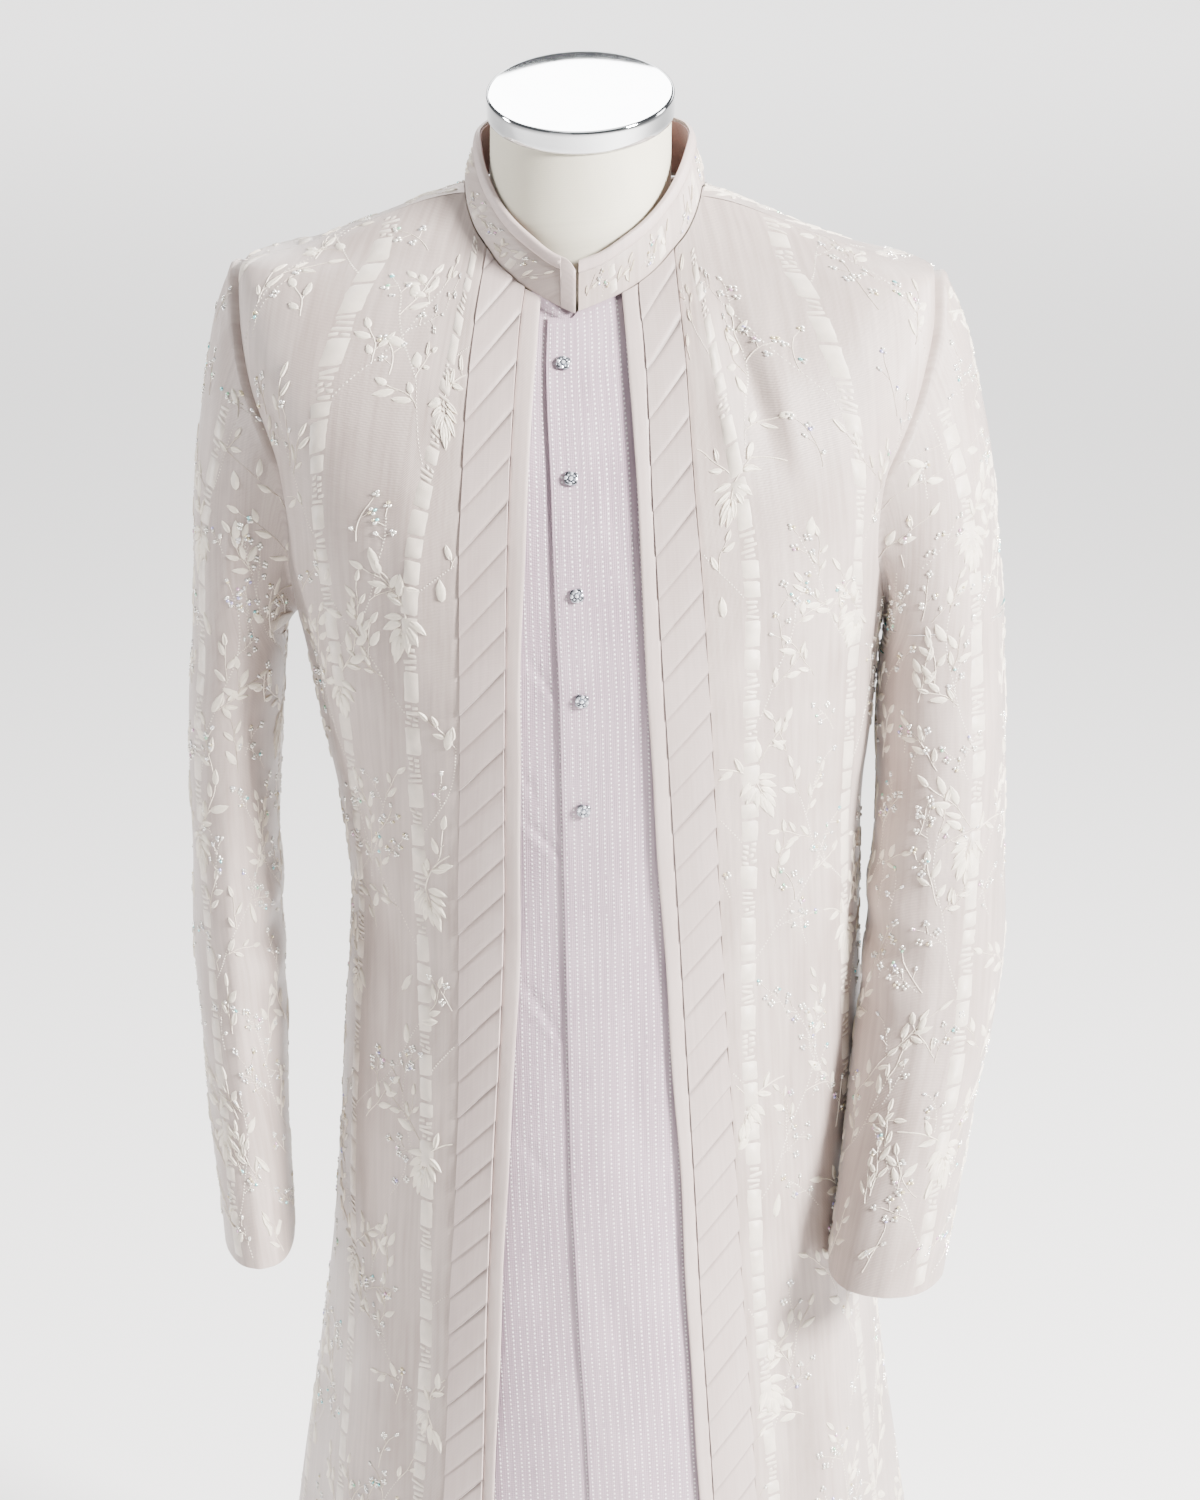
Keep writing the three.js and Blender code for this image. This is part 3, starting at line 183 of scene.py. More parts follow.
def skin(p, lift=0.0, extra=None, fine=True):
    n = normal_at(p); d = drape(p, fine) + lift
    if extra is not None: d = d + extra
    return p + n * d[..., None], n
def resample(line, count):
    s = np.concatenate([[0], np.cumsum(np.linalg.norm(np.diff(line, axis=0), axis=1))]); q = np.linspace(0, s[-1], count + 1)
    return np.stack([np.interp(q, s, line[:, i]) for i in range(3)], -1)
def arc(z, x0, side, face, count):
    a, xc = float(Ba(z)), float(Bx(z)); n = float(Bnf(z) if face < 0 else Bnb(z)); dep = float(Bf(z) if face < 0 else Bb(z))
    u = (x0 - xc) / a; t0 = math.asin(max(-1, min(1, side * math.copysign(abs(u) ** (n / 2), u))))
    t = np.linspace(t0, np.pi / 2, 400); s, c = np.sin(t), np.cos(t)
    y = face * dep * np.abs(c) ** (2 / n); y[-1] = face * SEAM
    return resample(np.stack([xc + side * a * np.sign(s) * np.abs(s) ** (2 / n), y, np.full_like(t, z)], -1), count)
def arm_line(side, face):
    rows = ARM_FRONT if face < 0 else ARM_BACK; f = pchip([r[0] for r in rows], [r[1] for r in rows]); z = np.linspace(ARMPIT_Z, SHOULDER_Z, 240)
    x = Bx(z) + side * Ba(z) * f(z); y = front_y(x, z) if face < 0 else back_y(x, z)
    return np.stack([x, np.minimum(y, -SEAM) if face < 0 else np.maximum(y, SEAM), z], -1)
NK = np.arange(len(NECK)); neck_x, neck_y = pchip(NK, NECK[:, 0]), pchip(NK, NECK[:, 1])
ctx, cty, ctz = [pchip(NK, COLLAR_TOP[:, i]) for i in range(3)]
def neck_points(k, side, shift=0.0):
    x, y = side * neck_x(k), neck_y(k) + shift
    return np.stack([x, y, height_at(x, y)], -1)
_kk = np.linspace(0, 6, 400); _kx = neck_x(_kk); _kz = height_at(_kx, neck_y(_kk))
def neck_row_at(x): return float(np.interp(abs(x), _kx, _kk))
def neck_top_at(x): return np.interp(np.abs(x), _kx, _kz)
def shoulder_line(side, face, count):
    a = neck_points(6.0, side); tip = arm_line(side, face)[-1]; t = np.linspace(0, 1, 90)
    x = a[0] + (tip[0] - a[0]) * t; y = a[1] + (-2 - a[1]) * t + face * SEAM; line = np.stack([x, y, height_at(x, y)], -1); line[-1] = tip
    return resample(line, count)
def coons(bottom, top, left, right):
    C, R = len(bottom), len(left); u = np.linspace(0, 1, C)[None, :, None]; v = np.linspace(0, 1, R)[:, None, None]
    P = left[:, None] * (1 - u) + right[:, None] * u + bottom[None] * (1 - v) + top[None] * v \
        - bottom[0] * (1 - u) * (1 - v) - bottom[-1] * u * (1 - v) - top[0] * (1 - u) * v - top[-1] * u * v
    G = P.copy(); G[1:-1, 1:-1] = onto(P[1:-1, 1:-1]); G[0], G[-1], G[:, 0], G[:, -1] = bottom, top, left, right
    return G

# ------------------------------------------------------------------ meshes
def make(name, verts, faces, mat, uv=None, smooth_angle=None, col=None):
    me = bpy.data.meshes.new(name); me.from_pydata((np.asarray(verts) * MM).tolist(), [], faces)
    if uv is not None:
        lay = me.uv_layers.new(name="UVMap"); idx = np.zeros(len(me.loops), dtype=np.int32); me.loops.foreach_get("vertex_index", idx)
        lay.data.foreach_set("uv", (np.asarray(uv)[idx] * MM).astype(np.float32).ravel())
    # vertex colour: the trims' real thread and sequin colours, and on the tuck bands painted crease shade
    if col is not None:
        ca = me.color_attributes.new(name="tint", type="FLOAT_COLOR", domain="POINT"); ca.data.foreach_set("color", np.asarray(col, np.float32).ravel())
    me.materials.append(mat); me.validate(); me.update()
    me.polygons.foreach_set("use_smooth", [True] * len(me.polygons))
    if smooth_angle: me.set_sharp_from_angle(angle=math.radians(smooth_angle))
    ob = bpy.data.objects.new(name, me); bpy.context.scene.collection.objects.link(ob)
    return ob
def wall(name, outer, inner, mat, uv=None, round_=False, angle=50, col=None):
    R, C = outer.shape[:2]; N = R * C; F = []; c_n = C if round_ else C - 1
    i = lambda r, c: r * C + (c % C)
    for r in range(R - 1):
        for c in range(c_n):
            F.append((i(r, c), i(r, c + 1), i(r + 1, c + 1), i(r + 1, c))); F.append((N + i(r, c), N + i(r + 1, c), N + i(r + 1, c + 1), N + i(r, c + 1)))
    for c in range(c_n):
        F.append((i(0, c + 1), i(0, c), N + i(0, c), N + i(0, c + 1))); F.append((i(R - 1, c), i(R - 1, c + 1), N + i(R - 1, c + 1), N + i(R - 1, c)))
    if not round_:
        for r in range(R - 1):
            F.append((i(r, 0), i(r + 1, 0), N + i(r + 1, 0), N + i(r, 0))); F.append((i(r + 1, C - 1), i(r, C - 1), N + i(r, C - 1), N + i(r + 1, C - 1)))
    V = np.concatenate([outer.reshape(-1, 3), inner.reshape(-1, 3)])
    # turn the shell outwards if its signed volume is negative
    T = np.array([(f[0], f[1], f[2]) for f in F] + [(f[0], f[2], f[3]) for f in F]); vol = np.einsum("ij,ij->i", V[T[:, 0]], np.cross(V[T[:, 1]], V[T[:, 2]])).sum()
    if vol < 0: F = [tuple(reversed(f)) for f in F]
    if uv is not None: uv = np.concatenate([uv.reshape(-1, 2), uv.reshape(-1, 2)])
    if col is not None: col = np.concatenate([col.reshape(-1, 4), np.ones((R * C, 4))])
    return make(name, V, F, mat, uv, angle, col)
def loft(name, rings, mat, uv=None, angle=40):
    R, C = rings.shape[:2]; V = rings.reshape(-1, 3); F = []
    for r in range(R - 1):
        for c in range(C): F.append((r * C + c, r * C + (c + 1) % C, (r + 1) * C + (c + 1) % C, (r + 1) * C + c))
    F.append(tuple(reversed(range(C)))); F.append(tuple(range((R - 1) * C, R * C)))
    return make(name, V, F, mat, uv, angle)

class Cloth:
    """A surface grid with across (s) and up (h) lengths in mm, so trim can be laid on it."""
    def __init__(self, P, round_=False, ref=0.4):
        self.P, self.round = P, round_; R, C = P.shape[:2]
        Q = np.concatenate([P, P[:, :1]], 1) if round_ else P
        self.Q = Q; dc = np.linalg.norm(np.diff(Q, axis=1), axis=2); self.S = np.concatenate([np.zeros((R, 1)), np.cumsum(dc, 1)], 1); self.W = self.S[:, -1]
        mid = int(C * ref); dr = np.linalg.norm(np.diff(P[:, mid], axis=0), axis=1); self.H = np.concatenate([[0], np.cumsum(dr)])
        du = np.gradient(Q, axis=1); dv = np.gradient(Q, axis=0)
        if round_: du[:, 0] = du[:, -1] = (Q[:, 1] - Q[:, -2]) / 2
        n = unit(np.cross(du, dv))
        c = Q.mean(1, keepdims=True) if round_ else np.stack([np.broadcast_to(Bx(Q[..., 2]), Q.shape[:2]), np.zeros(Q.shape[:2]), np.minimum(Q[..., 2], 1150.0)], -1)
        if ((Q - c) * n).sum() < 0: n = -n
        self.N, self.U = n, unit(du)
        if round_:   # lengths up each column from the lower end, because the rows bunch together at one side
            self.HC = np.concatenate([np.cumsum(np.linalg.norm(np.diff(Q, axis=0), axis=2)[::-1], 0)[::-1], np.zeros((1, Q.shape[1]))]); self.top = self.HC[0]; m = self.HC[:, mid]; self.H, self.W2 = m[::-1].copy(), self.W[::-1].copy()
    def width(self, h): return np.interp(h, self.H, self.W2 if self.round else self.W)
    def top_at(self, s, h):
        w = self.width(h); return np.interp(np.mod(s, w) / w * (self.Q.shape[1] - 1), np.arange(self.Q.shape[1]), self.top)
    def locate(self, s, h):
        R, C = self.Q.shape[:2]; h = np.asarray(h, float); fr = np.interp(h, self.H, np.arange(R)[::-1])
        for _ in range(3):
            w = np.interp(fr, np.arange(R), self.W); fc = np.mod(s, w) / w * (C - 1); c = np.clip(fc.astype(int), 0, C - 2); b = fc - c
            Hc = self.HC[:, c] * (1 - b) + self.HC[:, c + 1] * b; r = np.clip((Hc > h[None]).sum(0) - 1, 0, R - 2); k = np.arange(len(h)); hi, lo = Hc[r, k], Hc[r + 1, k]
            fr = r + np.clip((hi - h) / np.maximum(1e-6, hi - lo), 0, 1)
        return fr, fc
    def at(self, s, h, lift=0.0, frame=False):
        s, h = np.asarray(s, float), np.asarray(h, float); R, C = self.Q.shape[:2]
        if self.round: fr, fc = self.locate(s, h)
        else: w = self.width(h); fr = np.interp(h, self.H, np.arange(R)); fc = np.clip(s, 0, w) / w * (C - 1)
        r = np.clip(fr.astype(int), 0, R - 2); c = np.clip(fc.astype(int), 0, C - 2); a = (fr - r)[..., None]; b = (fc - c)[..., None]
        mix = lambda G: (G[r, c] * (1 - a) * (1 - b) + G[r + 1, c] * a * (1 - b) + G[r, c + 1] * (1 - a) * b + G[r + 1, c + 1] * a * b)
        p, n = mix(self.Q), unit(mix(self.N)); out = p + n * (np.asarray(lift, float)[..., None] if np.ndim(lift) else lift)
        if not frame: return out
        u = mix(self.U); u = unit(u - n * (u * n).sum(-1, keepdims=True)); return out, n, u, np.cross(n, u)
    def uv(self):
        R, C = self.P.shape[:2]; return np.stack([self.S[:, :C], self.HC[:, :C] if self.round else np.broadcast_to(self.H[:, None], (R, C))], -1)

# ------------------------------------------------------------------ materials
def nodes_of(name):
    m = bpy.data.materials.new(name); m.use_nodes = True; t = m.node_tree; b = t.nodes["Principled BSDF"]
    return m, t, b
def lin(c):
    return tuple((v / 12.92 if v <= 0.04045 else ((v + 0.055) / 1.055) ** 2.4) for v in (x / 255.0 for x in c))
def N(t, kind, **kw):
    n = t.nodes.new(kind)
    for k, v in kw.items():
        if k in n.inputs: n.inputs[k].default_value = v
        else: setattr(n, k, v)
    return n
def cloth_mat(name, dark, light, rough=0.45, sheen=0.3, thread=0.0007, streak=0.006, bump=0.35, spec=0.4, with_painted_shade=False):
    """Woven satin from the cloth's own lengths: warp and weft ribs, slubs along the warp, mottled colour and sheen.
    Optionally the colour is multiplied by painted shade, darker along creases, from a vertex colour attribute.
    """
    m, t, b = nodes_of(name); L = t.links
    uv = N(t, "ShaderNodeTexCoord"); sep = N(t, "ShaderNodeSeparateXYZ"); L.new(uv.outputs["UV"], sep.inputs[0])
    warp = N(t, "ShaderNodeTexWave", wave_type="BANDS", bands_direction="X"); warp.inputs["Scale"].default_value = 0.314 / thread / 1.0; warp.inputs["Distortion"].default_value = 0.6; warp.inputs["Detail Scale"].default_value = 2.0
    weft = N(t, "ShaderNodeTexWave", wave_type="BANDS", bands_direction="Y"); weft.inputs["Scale"].default_value = 0.314 / thread / 1.3; weft.inputs["Distortion"].default_value = 0.8
    L.new(uv.outputs["UV"], warp.inputs["Vector"]); L.new(uv.outputs["UV"], weft.inputs["Vector"])
    mp = N(t, "ShaderNodeMapping"); mp.inputs["Scale"].default_value = (1.0 / streak * 1.0, 1.0 / streak * 0.05, 1); L.new(uv.outputs["UV"], mp.inputs["Vector"])
    slub = N(t, "ShaderNodeTexNoise"); slub.inputs["Scale"].default_value = 1.0; slub.inputs["Detail"].default_value = 4; L.new(mp.outputs[0], slub.inputs["Vector"])
    blot = N(t, "ShaderNodeTexNoise"); blot.inputs["Scale"].default_value = 14.0; blot.inputs["Detail"].default_value = 3; L.new(uv.outputs["UV"], blot.inputs["Vector"])
    mix = N(t, "ShaderNodeMath", operation="MULTIPLY_ADD"); mix.inputs[1].default_value = 0.55; L.new(slub.outputs["Fac"], mix.inputs[0])
    m2 = N(t, "ShaderNodeMath", operation="MULTIPLY"); m2.inputs[1].default_value = 0.45; L.new(blot.outputs["Fac"], m2.inputs[0]); L.new(m2.outputs[0], mix.inputs[2])
    ramp = N(t, "ShaderNodeValToRGB"); ramp.color_ramp.elements[0].position = 0.3; ramp.color_ramp.elements[1].position = 0.7
    ramp.color_ramp.elements[0].color = (*lin(dark), 1); ramp.color_ramp.elements[1].color = (*lin(light), 1); L.new(mix.outputs[0], ramp.inputs["Fac"]); 
    # painted shade: the base colour is multiplied by the vertex colour, which darkens the creases where shade falls
    if with_painted_shade:
        at = N(t, "ShaderNodeAttribute", attribute_name="tint"); painted_shade_mul = N(t, "ShaderNodeMix", data_type="RGBA", blend_type="MULTIPLY"); painted_shade_mul.inputs["Factor"].default_value = 1.0
        L.new(ramp.outputs["Color"], painted_shade_mul.inputs[6]); L.new(at.outputs["Color"], painted_shade_mul.inputs[7]); L.new(painted_shade_mul.outputs[2], b.inputs["Base Color"])
    else: L.new(ramp.outputs["Color"], b.inputs["Base Color"])
    add = N(t, "ShaderNodeMath", operation="ADD"); L.new(warp.outputs["Fac"], add.inputs[0]); L.new(weft.outputs["Fac"], add.inputs[1])
    add2 = N(t, "ShaderNodeMath", operation="MULTIPLY_ADD"); add2.inputs[1].default_value = 1.2; L.new(slub.outputs["Fac"], add2.inputs[0]); L.new(add.outputs[0], add2.inputs[2])
    bm = N(t, "ShaderNodeBump"); bm.inputs["Strength"].default_value = bump; bm.inputs["Distance"].default_value = 0.00025; L.new(add2.outputs[0], bm.inputs["Height"]); L.new(bm.outputs[0], b.inputs["Normal"])
    rr = N(t, "ShaderNodeMapRange"); rr.inputs["To Min"].default_value = rough - 0.06; rr.inputs["To Max"].default_value = rough + 0.08; L.new(slub.outputs["Fac"], rr.inputs["Value"]); L.new(rr.outputs[0], b.inputs["Roughness"])
    b.inputs["Sheen Weight"].default_value = sheen; b.inputs["Sheen Roughness"].default_value = 0.35; b.inputs["Sheen Tint"].default_value = (1, 0.97, 0.96, 1); b.inputs["Specular IOR Level"].default_value = spec
    return m
def thread_mat(name, colour, rough=0.38, sheen=0.25, period=0.0006, along="X", spec=0.5):
    """Silk embroidery thread: fine satin-stitch ridges, gently mottled."""
    m, t, b = nodes_of(name); L = t.links
    tc = N(t, "ShaderNodeTexCoord"); wv = N(t, "ShaderNodeTexWave", wave_type="BANDS", bands_direction=along); wv.inputs["Scale"].default_value = 0.314 / period; wv.inputs["Distortion"].default_value = 1.2; wv.inputs["Detail"].default_value = 1.0
    L.new(tc.outputs["UV"], wv.inputs["Vector"])
    ns = N(t, "ShaderNodeTexNoise"); ns.inputs["Scale"].default_value = 90; L.new(tc.outputs["Object"], ns.inputs["Vector"])
    ramp = N(t, "ShaderNodeValToRGB"); c = np.array(lin(colour)); ramp.color_ramp.elements[0].color = (*(c * 0.9), 1); ramp.color_ramp.elements[1].color = (*np.minimum(1, c * 1.06), 1); ramp.color_ramp.elements[0].position = 0.35; ramp.color_ramp.elements[1].position = 0.65
    L.new(ns.outputs["Fac"], ramp.inputs["Fac"]); L.new(ramp.outputs["Color"], b.inputs["Base Color"])
    bm = N(t, "ShaderNodeBump"); bm.inputs["Strength"].default_value = 0.5; bm.inputs["Distance"].default_value = 0.0002; L.new(wv.outputs["Fac"], bm.inputs["Height"]); L.new(bm.outputs[0], b.inputs["Normal"])
    b.inputs["Roughness"].default_value = rough; b.inputs["Sheen Weight"].default_value = sheen; b.inputs["Specular IOR Level"].default_value = spec
    return m
def sequin_mat(name):
    m, t, b = nodes_of(name); L = t.links
    at = N(t, "ShaderNodeAttribute", attribute_name="tint"); L.new(at.outputs["Color"], b.inputs["Base Color"])
    ns = N(t, "ShaderNodeTexNoise"); ns.inputs["Scale"].default_value = 600; bm = N(t, "ShaderNodeBump"); bm.inputs["Strength"].default_value = 0.25; bm.inputs["Distance"].default_value = 0.0003
    tc = N(t, "ShaderNodeTexCoord"); L.new(tc.outputs["Object"], ns.inputs["Vector"]); L.new(ns.outputs["Fac"], bm.inputs["Height"]); L.new(bm.outputs[0], b.inputs["Normal"])
    b.inputs["Metallic"].default_value = 0.45; b.inputs["Roughness"].default_value = 0.16; b.inputs["Coat Weight"].default_value = 0.5; b.inputs["Coat Roughness"].default_value = 0.05
    return m
def metal_mat(name, colour, rough, scale=60, metallic=1.0, bump=0.02):
    m, t, b = nodes_of(name); L = t.links
    tc = N(t, "ShaderNodeTexCoord"); ns = N(t, "ShaderNodeTexNoise"); ns.inputs["Scale"].default_value = scale; ns.inputs["Detail"].default_value = 5; L.new(tc.outputs["Object"], ns.inputs["Vector"])
    rr = N(t, "ShaderNodeMapRange"); rr.inputs["To Min"].default_value = rough * 0.6; rr.inputs["To Max"].default_value = rough * 1.7; L.new(ns.outputs["Fac"], rr.inputs["Value"]); L.new(rr.outputs[0], b.inputs["Roughness"])
    ramp = N(t, "ShaderNodeValToRGB"); c = np.array(lin(colour)); ramp.color_ramp.elements[0].color = (*(c * 0.93), 1); ramp.color_ramp.elements[1].color = (*np.minimum(1, c * 1.04), 1); L.new(ns.outputs["Fac"], ramp.inputs["Fac"]); L.new(ramp.outputs["Color"], b.inputs["Base Color"])
    bm = N(t, "ShaderNodeBump"); bm.inputs["Strength"].default_value = bump; bm.inputs["Distance"].default_value = 0.0005; L.new(ns.outputs["Fac"], bm.inputs["Height"]); L.new(bm.outputs[0], b.inputs["Normal"])
    b.inputs["Metallic"].default_value = metallic
    return m

M_COAT = cloth_mat("coat_cloth", (154, 138, 131), (189, 174, 167), rough=0.33, sheen=0.35, thread=0.0008, streak=0.004)
M_PLAIN = cloth_mat("plain_satin", (174, 157, 152), (190, 174, 169), rough=0.42, sheen=0.3, thread=0.0008, streak=0.003, bump=0.25)
# tucked satin: same cloth colours, with painted shade multiplied in along the tuck creases
M_TUCK = cloth_mat("tucked_satin_painted_shade", (174, 157, 152), (190, 174, 169), rough=0.42, sheen=0.3, thread=0.0008, streak=0.003, bump=0.25, with_painted_shade=True)
M_INNER = cloth_mat("inner_satin", (156, 134, 147), (184, 164, 175), rough=0.36, sheen=0.25, thread=0.0013, streak=0.002, bump=0.35, spec=0.5)
M_LINING = cloth_mat("collar_lining", (138, 104, 100), (156, 120, 115), rough=0.5, sheen=0.3, thread=0.0006, streak=0.003)
M_FORM = cloth_mat("form_cover", (196, 190, 172), (208, 202, 184), rough=0.62, sheen=0.25, thread=0.0009, streak=0.02, bump=0.12, spec=0.3)
M_THREAD = thread_mat("ivory_thread", (226, 215, 198), rough=0.33)
M_STALK = thread_mat("stalk_thread", (208, 196, 183), rough=0.34, period=0.0007, along="Y")
M_STEM = thread_mat("stem_thread", (219, 207, 191), rough=0.45, period=0.0012)
M_BEAD = thread_mat("seed_bead", (228, 219, 205), rough=0.22, sheen=0.0, spec=0.7)
M_DOT = thread_mat("pearl_dot", (240, 234, 236), rough=0.25, sheen=0.0, spec=0.7)
M_SEQUIN = sequin_mat("sequin")
M_CHROME = metal_mat("chrome", (222, 224, 226), 0.045)
M_SILVER = metal_mat("stud_silver", (150, 153, 160), 0.2, scale=900, bump=0.1)
M_STONE = metal_mat("stud_stone", (226, 230, 238), 0.06, scale=500, metallic=0.55, bump=0.15)
M_STAND = metal_mat("stand_paint", (176, 176, 174), 0.32, metallic=0.1)

# ------------------------------------------------------------------ coat cloth
def put(ob, slot, *nodes):
    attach(ob, "root")
    if nodes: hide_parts(*nodes)
    return ob

def front_base(side):
    line = LINE["tuckOuterRight" if side < 0 else "tuckOuterLeft"]; x0 = lambda z: line(z) + side * SEAM * 1.2
    cols, low, up, nk = 62, 100, 52, 20
    rows = [arc(z, float(x0(z)), side, -1, cols) for z in np.linspace(HEM_Z, ARMPIT_Z, low, endpoint=False)]
    bottom = arc(ARMPIT_Z, float(x0(ARMPIT_Z)), side, -1, cols)
    neck = neck_points(np.linspace(neck_row_at(float(x0(1366))), 6, nk + 1), side); neck[-1, 1] -= SEAM
    top = np.concatenate([neck, shoulder_line(side, -1, cols - nk)[1:]])
    z = np.linspace(ARMPIT_Z, top[0, 2], up + 1); left = np.stack([x0(z), front_y(x0(z), z), z], -1); left[-1] = top[0]
    return np.concatenate([np.array(rows), coons(bottom, top, left, resample(arm_line(side, -1), up))])
def back_base():
    half, low, up, nk = 52, 90, 48, 18
    whole = lambda fn: np.concatenate([fn(-1)[::-1], fn(1)[1:]])
    rows = [whole(lambda s: arc(z, float(Bx(z)), s, 1, half)) for z in np.linspace(HEM_Z, ARMPIT_Z, low, endpoint=False)]
    bottom = whole(lambda s: arc(ARMPIT_Z, float(Bx(ARMPIT_Z)), s, 1, half))
    def edge(s):
        n = neck_points(np.linspace(len(NECK) - 1, 6, nk + 1), s); n[-1, 1] += SEAM
        return np.concatenate([n, shoulder_line(s, 1, half - nk)[1:]])
    return np.concatenate([np.array(rows), coons(bottom, whole(edge), resample(arm_line(-1, 1), up), resample(arm_line(1, 1), up))])
def edge_round(R, C, amount=0.5, cols=1, sides="lr"):
    e = np.zeros((R, C))
    if "l" in sides: e[:, 0] -= amount
    if "r" in sides: e[:, -1] -= amount
    return e
CLOTHS = {}
for side, nm in ((-1, "right"), (1, "left")):
    G = front_base(side); P, n = skin(G, extra=edge_round(*G.shape[:2], 0.45)); CLOTHS["front_" + nm] = Cloth(P)
    ob = wall("front_" + nm + "_cloth", P, P - n * CLOTH, M_COAT, CLOTHS["front_" + nm].uv()); put(ob, "coat_cloth", "front_" + nm)
G = back_base(); P, n = skin(G, extra=edge_round(*G.shape[:2], 0.45)); CLOTHS["back"] = Cloth(P, ref=0.5)
ob = wall("back_cloth", P, P - n * CLOTH, M_COAT, CLOTHS["back"].uv()); put(ob, "coat_cloth", "back")

# long strips between two front lines
def inner_rise(x): return 3.5 - 8.5 * smooth((np.abs(x) - 28) / 12)
def placket_rise(x): return np.minimum(inner_rise(x), 1332 + 30 * smooth((x + 2) / 12) - neck_top_at(x))
def strip_points(xa, xb, cols, z, rise=None):
    """z: rows x cols of wanted heights; keeps each point below the neckline."""
    u = np.linspace(0, 1, cols + 1)[None, :]; zz = z.copy()
    for _ in range(12):
        x = xa(zz) * (1 - u) + xb(zz) * u; zz = np.minimum(z, neck_top_at(x) + (rise(x) if rise else 0))
    return np.stack([x, front_y(x, zz), zz], -1)
def strip_base(xa, xb, cols, count, zlow, rise=None):
    top = strip_points(xa, xb, cols, np.full((1, cols + 1), 1440.0), rise)[0, :, 2]
    z = zlow + (top[None] - zlow) * np.linspace(0, 1, count + 1)[:, None]
    return strip_points(xa, xb, cols, z, rise)
def tuck_band(side):
    nm = "right" if side < 0 else "left"; inner, outer = LINE["tuckInner" + nm.capitalize()], LINE["tuckOuter" + nm.capitalize()]
    xa = (lambda z: outer(z) + SEAM) if side < 0 else (lambda z: inner(z) + SEAM); xb = (lambda z: inner(z) - SEAM) if side < 0 else (lambda z: outer(z) - SEAM)
    cols = 10; q = np.linspace(0, 1, cols + 1); PH = np.array([0.012, 0.05, 0.16, 0.38, 0.62, 0.84, 0.95, 0.985])
    tucks = int(math.ceil((1367 - HEM_Z) / TUCK_PITCH)) + 2; jit = np.random.default_rng(7 + side).normal(0, 1, (tucks + 3, 2))
    rows_z, rows_f, rows_t = [], [], []
    for k in range(-2, tucks):
        for p in PH: rows_z.append(HEM_Z + (k + p) * TUCK_PITCH + jit[k + 2, 0] * 0.5); rows_f.append(p); rows_t.append(k)
    z0 = np.array(rows_z)[:, None]; zc = np.clip(z0, HEM_Z, 1366); mid = (xa(zc) + xb(zc)) / 2; xw = xa(zc) * (1 - q) + xb(zc) * q
    want = z0 + TUCK_RISE * (xw - mid) * 1.0; z = np.clip(want, HEM_Z, None); G = strip_points(xa, xb, cols, z)
    amp = (0.75 + 1.05 * q)[None, :]; f = np.array(rows_f)[:, None]
    clamp_ = (want < HEM_Z) | (G[..., 2] < z - 0.01); fbar = f + 0 * xw
    m2 = (xa(G[..., 2]) + xb(G[..., 2])) / 2; ph = (G[..., 2] - TUCK_RISE * (G[..., 0] - m2) - HEM_Z) / TUCK_PITCH; fpos = ph - np.floor(ph)
    prof = lambda t: np.where(t < 0.05, 0.80 + 4 * t, 1.0) * (1 - t) ** 0.8 + 0.10 * np.sin(np.pi * t)
    lift = np.where(clamp_, prof(fpos), prof(f)) * amp * TUCK_LIFT * 0.85
    lift = lift - np.where(clamp_, 0, np.where(fbar > 0.97, 0.35, 0.0)) * q[None, :]
    P, n = skin(G, extra=lift + 0.05)
    P[..., 2] -= np.where(clamp_, 0, np.where(fbar < 0.03, 1.1, np.where(fbar < 0.08, 0.5, 0.0))) * (0.5 + 0.7 * q[None, :]) * smooth((G[..., 2] - HEM_Z - 2) / 3.0)
    # painted shade: the vertex colour darkens each tuck's lip and the recess under the next lip, most towards one seam,
    # where the folds' shadow falls
    shade = np.where(fbar > 0.97, 0.26, np.where(fbar > 0.9, 0.66, np.where(fbar < 0.03, 0.5, 1.0))); shade = np.where(clamp_, 1.0, 1 - (1 - shade) * (0.55 + 0.45 * q[None, :])); painted_shade_rgba = np.concatenate([np.repeat(shade[..., None], 3, -1), np.ones(shade.shape + (1,))], -1)
    # the tucks' folded ends stand out as small steps along one seam
    P[:, -1, 0] -= np.where(clamp_[:, -1], 0, np.where(f[:, 0] < 0.2, 0.0, 0.7 * f[:, 0]))
    base, _ = skin(G); inner_ = base - n * CLOTH; S = np.cumsum(np.linalg.norm(np.diff(P, axis=1, prepend=P[:, :1]), axis=2), 1)
    uv = np.stack([S, G[..., 2]], -1)
    ob = wall("tuck_band_" + nm + "_cloth", P, inner_, M_TUCK, uv, angle=38, col=painted_shade_rgba)
    import bmesh
    bm = bmesh.new(); bm.from_mesh(ob.data); bmesh.ops.remove_doubles(bm, verts=bm.verts, dist=2e-6); bmesh.ops.dissolve_degenerate(bm, edges=bm.edges, dist=2e-6); bm.to_mesh(ob.data); bm.free()
    ob.data.set_sharp_from_angle(angle=math.radians(38))
    put(ob, "plain_satin", "tuck_band_" + nm)
tuck_band(-1); tuck_band(1)
